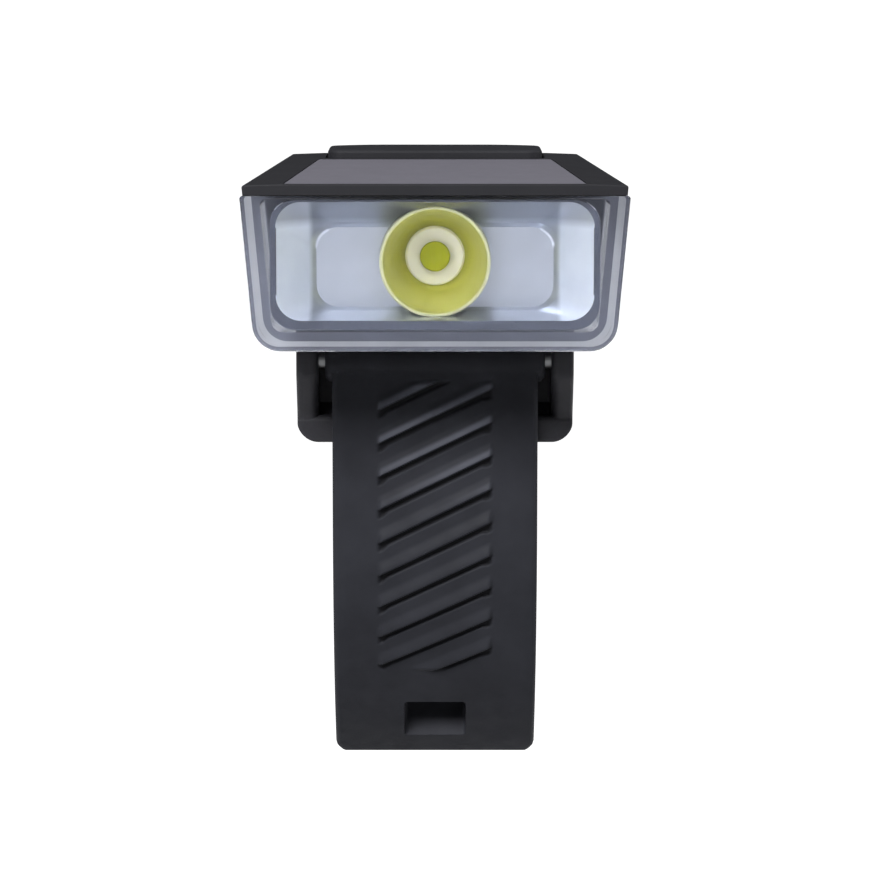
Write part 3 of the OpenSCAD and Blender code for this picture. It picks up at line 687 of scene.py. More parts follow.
def phosphor_finish():
    """Phosphor layer with the faint cells of the dies under it."""
    finish = Finish("led_phosphor")
    base = colour("phosphor")
    cells = finish.bricks(0.7, 0.7, 0.04, base, scaled(base, 0.93), scaled(base, 0.8), offset=0.0)
    finish.put(
        Base_Color=cells["Color"],
        Roughness=finish.range(finish.noise(0.15), 0.3, 0.7, 0.45, 0.6),
        Specular_IOR_Level=0.1,
        Normal=finish.bump(finish.noise(0.12), 0.01),
    )
    return finish.material


def circuit(name, base, trace):
    """Circuit board: solder mask over a pattern of tracks."""
    finish = Finish(name)
    tracks = finish.bricks(4.1, 1.3, 0.18, base, scaled(base, 1.15), trace, offset=0.37)
    finish.put(
        Base_Color=tracks["Color"],
        Roughness=finish.range(finish.noise(0.8, 3.0), 0.3, 0.7, 0.28, 0.4),
        Normal=finish.bump(tracks["Fac"], 0.03),
    )
    return finish.material


def floor_finish():
    """Matt pale paper that stays even under the lights."""
    finish = Finish("studio_floor")
    finish.put(
        Base_Color=finish.clouded(finish.noise(40.0, 3.0), colour("floor"), 0.99, 1.0),
        Roughness=0.9,
        Specular_IOR_Level=0.1,
        Emission_Color=(1.0, 1.0, 1.0, 1.0),
        Emission_Strength=1.0,
    )
    return finish.material


class NodeShape(Tree):
    """Geometry Nodes tree in the making, with named inputs for its sizes."""

    def __init__(self, name):
        super().__init__(bpy.data.node_groups.new(name, "GeometryNodeTree"))
        self.sockets = {}
        self.entry = self.node("NodeGroupInput")
        self.exit = self.node("NodeGroupOutput")
        for way in ("INPUT", "OUTPUT"):
            self.tree.interface.new_socket("Geometry", in_out=way, socket_type="NodeSocketGeometry")

    def input(self, name, kind="NodeSocketFloat"):
        """Adds a named input and gives the socket that carries its value."""
        made = self.tree.interface.new_socket(name, in_out="INPUT", socket_type=kind)
        self.sockets[name] = made.identifier
        return self.entry.outputs[name]

    def math(self, operation, *values):
        """One step of arithmetic."""
        return self.node("ShaderNodeMath", dict(enumerate(values)), operation=operation).outputs["Value"]

    def add(self, first, second):
        """Sum of two numbers."""
        return self.math("ADD", first, second)

    def less(self, first, second):
        """First number less the second."""
        return self.math("SUBTRACT", first, second)

    def times(self, first, second):
        """Product of two numbers."""
        return self.math("MULTIPLY", first, second)

    def soft_step(self, value, low, high):
        """Smooth rise from 0 to 1 between two numbers."""
        return self.node("ShaderNodeMapRange", {
            "Value": value, "From Min": low, "From Max": high, "To Min": 0.0, "To Max": 1.0,
        }, interpolation_type="SMOOTHSTEP").outputs["Result"]

    def vector(self, x=0.0, y=0.0, z=0.0):
        """Vector from three numbers or links."""
        return self.node("ShaderNodeCombineXYZ", {"X": x, "Y": y, "Z": z}).outputs["Vector"]

    def close(self, geometry):
        """Ends the tree: instances made real, then the material."""
        finish = self.input("Finish", "NodeSocketMaterial")
        real = self.node("GeometryNodeRealizeInstances", {"Geometry": geometry})
        last = self.node("GeometryNodeSetMaterial", {
            "Geometry": real.outputs["Geometry"], "Material": finish,
        })
        self.feed(self.exit.inputs["Geometry"], last.outputs["Geometry"])

    def grow(self, obj, **values):
        """Runs the tree on an object, with its inputs set by identifier, and keeps the mesh."""
        step = obj.modifiers.new("shape", "NODES")
        step.node_group = self.tree
        for name, value in values.items():
            step[self.sockets[name.replace("_", " ")]] = value
        settle(obj)
        if not obj.data.polygons:
            raise RuntimeError(f"the node tree made nothing of {obj.name}")


def head_half(y):
    """Half the width of the head's top at a station along it."""
    slope = (HEAD_HALF - size("rear_width") / 2) / (REAR_Y - FRONT_Y)
    return HEAD_HALF - slope * (y - FRONT_Y)


def side_x(y, z):
    """Half the width of the head at a station and a height."""
    lean = size("side_draft") / (TOP_Z - FLOOR_Z - size("keel_radius"))
    return head_half(y) - lean * (TOP_Z - z)


def head_outline(y, pull, low, high, keel, crown=0.15):
    """Head's outline from the front at a station, pulled in at the sides."""
    bottom = side_x(y, low) - pull
    top = side_x(y, high) - pull
    return fillet(
        [(-bottom, low), (bottom, low), (top, high), (-top, high)], [keel, keel, crown, crown], 8,
    )


def head_ring(y, pull, low, high, keel, crown=0.15):
    """The same outline put at its station."""
    return place(head_outline(y, pull, low, high, keel, crown), y, "XZ")


def rear_stations():
    """Stations of the rounded rear, each with how far the rounding has gone, from 0 to 1."""
    run = 2 * size("rear_bevel")
    return [(REAR_Y - run * back, pull) for back, pull in quarter(8)]


def screw_places():
    """Where the four case screws stand, as (X, Y)."""
    front_shift = 0.9
    rear_shift = 0.2
    inset = size("side_draft") + size("wall") + POST_RADIUS
    front_y = SCREW_LOW.y + SCREW_HEAD
    rear_y = SCREW_HIGH.y - SCREW_HEAD
    front_x = head_half(front_y) - inset - front_shift
    rear_x = head_half(rear_y) - inset - rear_shift
    return [(front_x, front_y), (-front_x, front_y), (rear_x, rear_y), (-rear_x, rear_y)]


def stadium(width, height, steps=10):
    """Outline with all but round ends, as the charging port has."""
    flat = 0.01
    half = height / 2
    return rectangle(-width / 2, SOCKET_Z - half, width / 2, SOCKET_Z + half, half - flat, steps)


def plate_outline(grow):
    """Outline of the grey plate from above, grown by a margin."""
    corner = 0.6
    front = PLATE_LOW.y - grow
    back = PLATE_HIGH.y + grow
    wide = head_half(front) - size("plate_border") + grow
    narrow = head_half(back) - size("plate_border") + grow
    corners = [(-wide, front), (wide, front), (narrow, back), (-narrow, back)]
    return fillet(corners, [corner + grow] * 4, 5)


def pad_outline(grow):
    """Outline of the button pad from above, grown by a margin."""
    inset = size("pad_flange") - grow
    return rectangle(
        PAD_LOW.x + inset, PAD_LOW.y + inset, PAD_HIGH.x - inset, PAD_HIGH.y - inset,
        size("pad_corner"), 8,
    )


class LAMP_OT_stage(bpy.types.Operator):
    """Camera at the photograph's angle, soft lights and a pale floor"""

    bl_idname = "lamp.stage"
    bl_label = "Studio"

    # Name, place, width and height in metres, watts, and whether glossy faces mirror it
    soft_boxes = (
        ("roof_light", (0.0, -0.05, 0.75), (0.9, 0.9), 3.4, True),
        ("front_light", (-0.23, -0.72, 0.575), (0.45, 0.3), 20.0, True),
        ("rim_light", (0.75, 0.05, 0.35), (0.4, 0.6), 4.0, True),
        ("left_panel", (-0.90, -0.42, 0.02), (1.2, 0.6), 4.6, False),
        ("right_panel", (0.90, -0.42, 0.02), (1.2, 0.6), 2.8, False),
        ("rear_fill", (0.35, 0.60, -0.15), (0.3, 0.15), 4.0, False),
    )

    def execute(self, context):
        self.set_camera(context.scene)
        self.set_world(context.scene)
        for name, spot, shape, power, mirrored in self.soft_boxes:
            self.soft_box(name, spot, shape, power, mirrored)

        half = 90.0
        level = -0.30
        paper = floor_finish()
        sheet = bmesh.new()
        corners = [(-half, -half), (half, -half), (half, half), (-half, half)]
        sheet.faces.new([sheet.verts.new((x, y, level)) for x, y in corners])
        floor = self.stand("studio_floor", sheet, paper)
        floor.visible_diffuse = False

        globe = bmesh.new()
        bmesh.ops.create_uvsphere(globe, u_segments=48, v_segments=24, radius=4.0)
        backdrop = self.stand("studio_backdrop", globe, paper)
        backdrop.visible_diffuse = False
        backdrop.visible_glossy = False
        backdrop.visible_transmission = False
        backdrop.visible_shadow = False
        return {"FINISHED"}

    def set_camera(self, scene):
        """Long lens a little above the head, as in the photograph."""
        look_down = 8.095
        lens = bpy.data.cameras.new("photo_camera")
        lens.lens = 146.6
        lens.sensor_width = 36.0
        lens.clip_start = 0.01
        camera = bpy.data.objects.new("photo_camera", lens)
        camera.location = (0.0, -0.458, 0.0715)
        camera.rotation_euler = (math.radians(90 - look_down), 0.0, 0.0)
        scene.collection.objects.link(camera)
        scene.camera = camera
        scene.view_settings.view_transform = "Standard"

    def set_world(self, scene):
        """Faint cool light from all round."""
        world = bpy.data.worlds.new("studio")
        world.use_nodes = True
        sky = world.node_tree.nodes["Background"]
        sky.inputs["Color"].default_value = (0.93, 0.96, 1.0, 1.0)
        sky.inputs["Strength"].default_value = 0.08
        scene.world = world

    def soft_box(self, name, spot, shape, power, mirrored):
        """Rectangular area light aimed at the head."""
        target = Vector((0.0, -0.02, 0.02))
        light = bpy.data.lights.new(name, "AREA")
        light.shape = "RECTANGLE"
        light.size, light.size_y = shape
        light.energy = power
        box = bpy.data.objects.new(name, light)
        box.location = spot
        aim = target - Vector(spot)
        box.rotation_euler = aim.to_track_quat("-Z", "Y").to_euler()
        box.visible_glossy = mirrored
        bpy.context.scene.collection.objects.link(box)

    def stand(self, name, work, finish):
        """Object of the stage from a mesh in the making."""
        mesh = bpy.data.meshes.new(name)
        work.to_mesh(mesh)
        work.free()
        mesh.materials.append(finish)
        obj = bpy.data.objects.new(name, mesh)
        bpy.context.scene.collection.objects.link(obj)
        return obj


class LAMP_OT_case(bpy.types.Operator):
    """Lower case with its cavity, posts, charging port, hinge ears and swivel boss"""

    bl_idname = "lamp.case"
    bl_label = "Lower case"

    def execute(self, context):
        wall = size("wall")
        keel = size("keel_radius")
        bevel = size("rear_bevel")
        floor = FLOOR_Z + wall
        inner = REAR_Y - wall
        front_edge = 0.1
        rings = [
            place(shrink(head_outline(CASE_Y, 0, FLOOR_Z, SPLIT_Z, keel), front_edge), CASE_Y, "XZ"),
            head_ring(CASE_Y + 0.15, 0, FLOOR_Z, SPLIT_Z, keel),
        ]
        for y, gone in rear_stations():
            pull = bevel * gone
            rings.append(head_ring(y, pull, FLOOR_Z + pull / 2, SPLIT_Z, keel - pull / 2))
        case = make("lower_case_shell", skin(rings))
        carve(case, skin([
            head_ring(y, wall, floor, SPLIT_Z + OVER, keel - wall) for y in (CASE_Y - OVER, inner)
        ]))

        boss_bore = 1.55
        boss_radius = 6.0
        post_top = 36.0
        places = screw_places()
        join(case, tube(boss_bore, boss_radius, CASE_LOW.z, floor - 0.4, ORIGIN, "Z", chamfer=0.3))
        for x, y in places:
            join(case, tube(
                POST_BORE, POST_RADIUS, floor - 0.3, post_top, (x, y, 0), "Z", chamfer=0.2, around=32,
            ))
        self.add_ears(case, inner + 0.4)
        self.cut_port(case, inner - OVER)

        sink_depth = 1.2
        bore_depth = 2.4
        proud = -0.02
        sink = [
            (0, proud), (SCREW_HEAD + 0.06, proud), (POST_BORE, sink_depth), (POST_BORE, bore_depth),
            (0, bore_depth),
        ]
        carve(case, *[lathe(sink, (x, y, FLOOR_Z), "Z", around=40) for x, y in places])
        finish = moulded("case_black", colour("case"), rough=0.52, grain=0.35, depth=0.012)
        fit(case, "lamp_head", "case_black", finish, "lower_case")
        return {"FINISHED"}

    def add_ears(self, case, root):
        """Joins the two ears that hold the port cover's pin."""
        reach = HINGE_Y + 1.49
        foot = HINGE_Z - 1.5
        corners = [(root, foot), (reach, foot), (reach, SPLIT_Z), (root, SPLIT_Z)]
        ear = fillet(corners, [0.1, 1.4, 1.1, 0.1], 8)
        near = PORT_HIGH.x + size("free_gap")
        far = PORT_PIN_HIGH.x
        for low, high in ((near, far), (-far, -near)):
            join(case, slab(ear, low, high, edge=0.25, plane="YZ"))

    def cut_port(self, case, start):
        """Cuts the charging port, the light's hole and the bore of the hinge pin."""
        end = REAR_Y + OVER
        slack = 0.1
        mouth = 1.7
        light_hole = 1.05
        pin_hole = 0.55
        reach = 12
        for grow, low in ((slack, start), (mouth, SOCKET_HIGH.y)):
            opening = stadium(SOCKET_WIDTH + grow, SOCKET_HEIGHT + grow)
            carve(case, slab(opening, low, end, edge=0, plane="XZ"))
        carve(
            case,
            rod(light_hole, start, end, PIPE_CENTRE, "Y", chamfer=0.01),
            rod(pin_hole, -reach, reach, HINGE_CENTRE, "X", chamfer=0.01, around=32),
        )


class LAMP_OT_cover(bpy.types.Operator):
    """Top cover with its visor, and the grey plate let into its roof"""

    bl_idname = "lamp.cover"
    bl_label = "Top cover and plate"

    def cover_ring(self, y, pull, drop, low, inset=0):
        """Cover's outline from the front: roof flat in the middle, falling to its side edges."""
        edge_z = TOP_Z - size("edge_droop") - drop
        bottom = side_x(y, low) - pull
        edge = side_x(y, edge_z) - pull
        shoulder = head_half(y) - size("plate_border") + 0.5 - pull / 2
        top = TOP_Z - drop
        return shrink(fillet([
            (-bottom, low), (bottom, low), (edge, edge_z),
            (shoulder, top), (-shoulder, top), (-edge, edge_z),
        ], [0.2, 0.2, 0.3, 3.0, 3.0, 0.3], 5), inset)

    def execute(self, context):
        wall = size("wall")
        bevel = size("rear_bevel")
        visor = VISOR_Z + 0.04
        split = SPLIT_Z + 0.06
        nose = 0.18
        rings = []
        for back, pull in reversed(quarter(4)):
            outline = self.cover_ring(FRONT_Y, 0, 0, visor, nose * pull)
            rings.append(place(outline, FRONT_Y + nose * back, "XZ"))
        rings += [place(self.cover_ring(CASE_Y, 0, 0, low), CASE_Y, "XZ") for low in (visor, split)]
        for y, gone in rear_stations():
            pull = bevel * gone
            rings.append(place(self.cover_ring(y, pull, pull / 2, split), y, "XZ"))
        cover = make("top_cover_shell", skin(rings))
        roof = TOP_Z - size("roof")
        cavity = [head_ring(y, wall, SPLIT_Z - 2, roof, 0.5) for y in (CASE_Y - OVER, REAR_Y - wall)]
        carve(
            cover,
            skin(cavity),
            slab(plate_outline(0.06), PLATE_LOW.z - 0.02, TOP_Z + OVER, edge=0),
            slab(pad_outline(size("free_gap")), roof - OVER, TOP_Z + OVER, edge=0),
        )
        finish = moulded("cover_black", colour("cover"), rough=0.55, grain=0.3, depth=0.012, specular=0.08)
        fit(cover, "lamp_head", "cover_black", finish, "top_cover", angle=30)

        sunk = PLATE_HIGH.z - 0.03
        plate = make("roof_plate", slab(plate_outline(0), PLATE_LOW.z, sunk, edge=0.12, edge_low=0))
        finish = moulded(
            "plate_grey", colour("plate"), rough=0.48, grain=0.16, depth=0.006, specular=0.2, blotch=0.04,
        )
        fit(plate, "lamp_head", "plate_grey", finish, "top_plate")
        return {"FINISHED"}


class LAMP_OT_front(bpy.types.Operator):
    """Clear front cap and the sealing ring behind it"""

    bl_idname = "lamp.front"
    bl_label = "Clear cap and seal"

    def execute(self, context):
        wall = size("wall")
        keel = size("keel_radius")
        self.make_cap(wall, keel)

        pull = SEAL_INSET
        inset = wall + 0.6
        seal = make("sealing_ring", skin([
            head_ring(SEAL_LOW.y, pull, FLOOR_Z + pull, VISOR_Z, keel - pull, 0.3),
            head_ring(SEAL_HIGH.y, pull, FLOOR_Z + pull, VISOR_Z, keel - pull, 0.3),
            head_ring(SEAL_HIGH.y, inset, FLOOR_Z + inset, VISOR_Z - wall, keel - wall, 0.3),
            head_ring(SEAL_LOW.y, inset, FLOOR_Z + inset, VISOR_Z - wall, keel - wall, 0.3),
        ], ends=False))
        finish = moulded("seal_rubber", colour("rubber"), rough=0.6, grain=0.2, depth=0.008)
        fit(seal, "lamp_head", "seal_rubber", finish, "lens_gasket")
        return {"FINISHED"}

    def make_cap(self, wall, keel):
        """Clear cap: rounded front edge, welded rear edge and a hollow open to the rear."""
        edge = size("cap_edge")
        roof = VISOR_Z - size("cap_roof")
        bead = 0.1
        weld = 0.15
        stations = [(FRONT_Y + edge * back, edge * pull) for back, pull in reversed(quarter(6))]
        stations.append((CAP_BACK_Y - bead, 0))
        rings = []
        for y, pull in stations:
            out = CAP_PROUD - pull
            rings.append(head_ring(y, -out, FLOOR_Z - out, VISOR_Z, keel + out / 2, 0.4))
        rings.append(head_ring(CAP_BACK_Y, weld, FLOOR_Z + weld, VISOR_Z - bead, keel - weld, 0.4))
        for y in (CAP_BACK_Y, FRONT_Y + wall):
            rings.append(head_ring(y, wall, FLOOR_Z + wall, roof, keel - wall, 0.7))
        cap = make("clear_front_cap", skin(rings))
        finish = clear("clear_cap", colour("cap"), rough=0.02, glare=0.35)
        fit(cap, "lamp_head", "clear_cap", finish, "front_lens")

        hair = 0.001
        # The first rear look, a light grey band on the cap's rear edge, is painted light standing in for
        # light refracted through the cap's walls; the second stays dark blue-grey
        rear_looks = (("cap_weld", (0.47, 0.485, 0.53, 1.0)), ("cap_seat", (0.145, 0.155, 0.205, 1.0)))
        for name, base in rear_looks:
            cap.data.materials.append(moulded(name, base, rough=0.5, grain=0.4, depth=0.01, specular=0.3))
        for face in cap.data.polygons:
            behind = face.center.y / MM - CAP_BACK_Y
            rear = behind > hair - bead and face.normal.y > 0.5
            face.material_index = (1 if behind < -hair else 2) if rear else 0


class LAMP_OT_reflector(bpy.types.Operator):
    """Silver tray and the round cup in it"""

    bl_idname = "lamp.reflector"
    bl_label = "Reflector"

    def execute(self, context):
        self.make_tray()
        self.make_cup()
        return {"FINISHED"}

    def make_tray(self):
        """Tray with a rim, sloping sides and a sunken floor, on a flange behind the cap."""
        wall = size("tray_wall")
        corner = size("tray_corner")
        keel = size("keel_radius")
        shell = size("wall")
        gap = 0.1
        rim_y = TRAY_LOW.y
        rim_half = head_half(rim_y) - 0.8 * size("side_draft") - shell - wall - gap
        rim_high = VISOR_Z - size("cap_roof") - wall / 2 - gap
        rim_low = FLOOR_Z + shell + wall + 2 * gap
        cup_foot = LED_Z - CUP_HIGH.x
        sill = min(0.8, cup_foot - gap - rim_low)
        floor_half = rim_half - size("tray_run")
        floor_high = LED_Z + 4.1
        rim = (rim_half, rim_low + sill, rim_high, rim_y)
        floor = (floor_half, cup_foot + size("cup_wall"), floor_high, CAP_BACK_Y)

        def dish(part, grow, roof, sill=0.0):
            """Outline of the dish part of the way from its rim to its floor, and its station."""
            half, low, high, y = [a + (b - a) * part for a, b in zip(rim, floor)]
            outline = rectangle(-half - grow, low - grow - sill, half + grow, high + roof, corner, 10)
            return outline, y

        brim = 0.12
        round_edge = 0.1
        outline, y = dish(1, 0, 0)
        rings = [place(shrink(outline, 0.5), y, "XZ")]
        for back, _ in quarter(4):
            outline, y = dish(0.9 + 0.1 * back, 0, 0)
            rings.append(place(shrink(outline, 0.3 * back), y, "XZ"))
        outline, y = dish(0, 0, 0)
        rings.append(place(outline, y + brim, "XZ"))
        rings.append(place(shrink(outline, -round_edge), y, "XZ"))
        outline, y = dish(0, wall, wall / 2, sill)
        rings.append(place(shrink(outline, round_edge), y, "XZ"))
        rings.append(place(outline, y + brim, "XZ"))
        outline, y = dish(1, wall, wall / 2)
        rings.append(place(outline, TRAY_HIGH.y, "XZ"))
        tray = make("reflector_tray_dish", skin(rings))
        inset = 0.6
        flange = head_outline(CAP_BACK_Y, inset, FLOOR_Z + inset, VISOR_Z - 0.02, keel - inset, 0.3)
        join(tray, slab(flange, CAP_BACK_Y + 0.01, TRAY_HIGH.y, edge=0.05, plane="XZ"))
        hole = CUP_HIGH.x + 0.03
        crest = [(x, LED_Z + z) for x, z in arc((0, 0), hole, 0, 180, 48)]
        carve(
            tray,
            rod(hole, CUP_LOW.y + 0.01, TRAY_HIGH.y + OVER, LED_CENTRE, "Y", chamfer=0.01, around=96),
            slab(crest, rim_y - OVER, CUP_LOW.y + 0.5, edge=0, plane="XZ"),
        )
        fit(tray, "lamp_head", "tray_silver", tray_finish(floor_half), "reflector_tray", angle=40)

        bare = (0.060, 0.068, 0.098, 1.0)
        uncoated = moulded("tray_back", bare, rough=0.4, grain=0.4, depth=0.01, specular=0.3)
        tray.data.materials.append(uncoated)
        slack = (0.08, -0.08, 0.08)
        for face in tray.data.polygons:
            spot = face.center / MM
            part = min(max((spot.y - rim_y) / (CAP_BACK_Y - rim_y), 0), 1)
            half, low, high = [a + (b - a) * part + more for a, b, more in zip(rim, floor, slack)]
            coated = abs(spot.x) < half and low < spot.z < high and spot.y < CAP_BACK_Y + 0.005
            on_brim = spot.y < rim_y + 0.1 and face.normal.y < -0.8
            face.material_index = 0 if coated and not on_brim else 1

    def make_cup(self):
        """Parabolic bowl, stepped behind where it sits in the tray's floor."""
        edge = 0.12
        mouth = CUP_HIGH.x - size("cup_wall")
        throat = BASE_HIGH.x + 0.05
        depth = CUP_HIGH.y - CUP_LOW.y

        def bowl_radius(part):
            """Inner radius part of the way from the throat to the mouth."""
            return throat + (mouth - throat) * math.sqrt(part)

        steps = 24
        bowl = [(bowl_radius(k / steps), CUP_HIGH.y - depth * k / steps) for k in range(steps)]
        neck = bowl_radius((CUP_HIGH.y - TRAY_HIGH.y) / depth) + 0.6
        bowl += [
            (mouth, CUP_LOW.y + edge), (mouth + edge, CUP_LOW.y),
            (CUP_HIGH.x - edge, CUP_LOW.y), (CUP_HIGH.x, CUP_LOW.y + edge),
            (CUP_HIGH.x, TRAY_HIGH.y), (neck, TRAY_HIGH.y), (throat + 1, CUP_HIGH.y),
        ]
        cup = make("reflector_cup_bowl", lathe(bowl, LED_CENTRE, "Y", around=96))
        fit(cup, "lamp_head", "cup_silver", cup_finish(), "reflector_cup", angle=40)


class LAMP_OT_led(bpy.types.Operator):
    """White base, phosphor chip and clear dome of the LED"""

    bl_idname = "lamp.led"
    bl_label = "LED"

    def execute(self, context):
        base = make("led_base_disc", rod(
            BASE_HIGH.x, BASE_LOW.y, BASE_HIGH.y, LED_CENTRE, "Y", chamfer=0.2, around=64,
        ))
        finish = moulded(
            "led_white", colour("ceramic"), rough=0.35, grain=0.3, depth=0.006, specular=0.4, blotch=0.05,
        )
        fit(base, "lamp_head", "led_white", finish, "led_base")

        chip = make("led_chip_disc", rod(
            CHIP_HIGH.x, CHIP_LOW.y, CHIP_HIGH.y, LED_CENTRE, "Y", chamfer=0.08, around=48,
        ))
        fit(chip, "lamp_head", "led_phosphor", phosphor_finish(), "led_chip")

        radius = DOME_HIGH.x
        back = DOME_HIGH.y
        sunk = back + 0.02
        profile = [(0, sunk), (radius, sunk)]
        profile += [(across, back - up) for across, up in arc((0, 0), radius, 0, 90, 16)]
        dome = make("led_dome_lens", lathe(profile, LED_CENTRE, "Y", around=64))
        gel = clear("dome_clear", (0.98, 0.98, 0.94, 1.0), rough=0.01, haze=0.01, bend=1.2)
        fit(dome, "lamp_head", "dome_clear", gel, "led_dome")
        return {"FINISHED"}


class LAMP_OT_button(bpy.types.Operator):
    """Crowned rubber pad of the button"""

    bl_idname = "lamp.button"
    bl_label = "Button pad"

    def execute(self, context):
        flange = PAD_LOW.z + 0.8
        pad = make("button_pad_rubber", slab(
            pad_outline(0), PAD_LOW.z, PAD_HIGH.z, edge=0.45, edge_low=0, steps=6,
            crown=size("pad_crown"), crown_run=0.15,
        ))
        join(pad, slab(pad_outline(size("pad_flange")), PAD_LOW.z, flange, edge=0.1))
        finish = moulded(
            "pad_rubber", colour("rubber"), rough=0.62, grain=0.22, depth=0.012, specular=0.1, blotch=0.1,
        )
        fit(pad, "button", "pad_rubber", finish, "button_pad")
        return {"FINISHED"}


class LAMP_OT_port(bpy.types.Operator):
    """Charging socket, its hinged rubber cover, hinge pin and charge light"""

    bl_idname = "lamp.port"
    bl_label = "Charging port"

    def execute(self, context):
        self.make_socket()
        self.make_lid()

        pin = make("port_hinge_pin", rod(
            PORT_PIN_HIGH.z - HINGE_Z, PORT_PIN_LOW.x, PORT_PIN_HIGH.x, HINGE_CENTRE, "X",
            chamfer=0.1, around=32,
        ))
        base = colour("steel")
        turned = metal("pin_steel", base, rough=0.3, grain=0.25, depth=0.003, stretch=(0.2, 1, 1))
        fit(pin, "lamp_head", "steel", turned, "usb_cover_pin")

        radius = (PIPE_HIGH.x - PIPE_LOW.x) / 2
        root = PIPE_LOW.y
        face = PIPE_HIGH.y
        light = make("charge_light", lathe([
            (0, root), (radius, root), (radius, face - 0.12), (radius * 0.9, face - 0.05),
            (radius * 0.6, face - 0.01), (0, face),
        ], PIPE_CENTRE, "Y", around=40))
        frosted = clear("pipe_clear", (0.90, 0.92, 0.92, 1.0), rough=0.35, haze=0.1)
        fit(light, "lamp_head", "pipe_clear", frosted, "charge_indicator")
        return {"FINISHED"}

    def make_socket(self):
        """Drawn steel shell of the socket, open to the rear."""
        shell = 0.3
        root = SOCKET_LOW.y
        mouth = SOCKET_HIGH.y
        outer = stadium(SOCKET_WIDTH, SOCKET_HEIGHT, 12)
        stations = (
            (0, root), (0, mouth - 0.1), (0.1, mouth),
            (shell - 0.08, mouth), (shell, mouth - 0.2), (shell, root + 1),
        )
        socket = make("charging_socket_shell", skin([
            place(shrink(outer, pull), y, "XZ") for pull, y in stations
        ]))
        base = colour("steel")
        drawn = metal("socket_steel", base, rough=0.3, grain=0.3, depth=0.004, stretch=(1, 0.15, 1))
        fit(socket, "lamp_head", "socket_steel", drawn, "usb_socket")

    def make_lid(self):
        """Rubber lid with a plug for the port, a hinge barrel and three grip bars."""
        inside = REAR_Y + 0.15
        outside = inside + 1.6
        plug = 1.0
        barrel = 1.0
        form = rectangle(PORT_LOW.x, PORT_LOW.z, PORT_HIGH.x, HINGE_Z, 0.9, 6)
        stopper = stadium(SOCKET_WIDTH + plug, SOCKET_HEIGHT + plug)
        lid = make("port_cover_lid", slab(form, inside, outside, edge=0.35, edge_low=0.15, plane="XZ"))
        join(
            lid,
            slab(stopper, PORT_LOW.y, inside + 0.3, edge=0, edge_low=0.25, plane="XZ"),
            rod(barrel, PORT_LOW.x, PORT_HIGH.x, HINGE_CENTRE, "X", chamfer=0.15),
        )
        bars = 3
        half = 3.2
        thin = 0.18
        for k in range(bars):
            z = PORT_LOW.z + 0.7 + 0.75 * k
            grip = rectangle(-half, z - thin, half, z + thin, 0.17, 4)
            join(lid, slab(grip, outside - 0.3, outside + 0.28, edge=0.12, edge_low=0, plane="XZ"))
        bore = 0.56
        reach = 12
        carve(lid, rod(bore, -reach, reach, HINGE_CENTRE, "X", chamfer=0.01, around=32))
        finish = moulded(
            "cover_rubber", colour("rubber"), rough=0.55, grain=0.25, depth=0.012, blotch=0.1,
        )
        fit(lid, "port_cover", "cover_rubber", finish, "usb_cover")


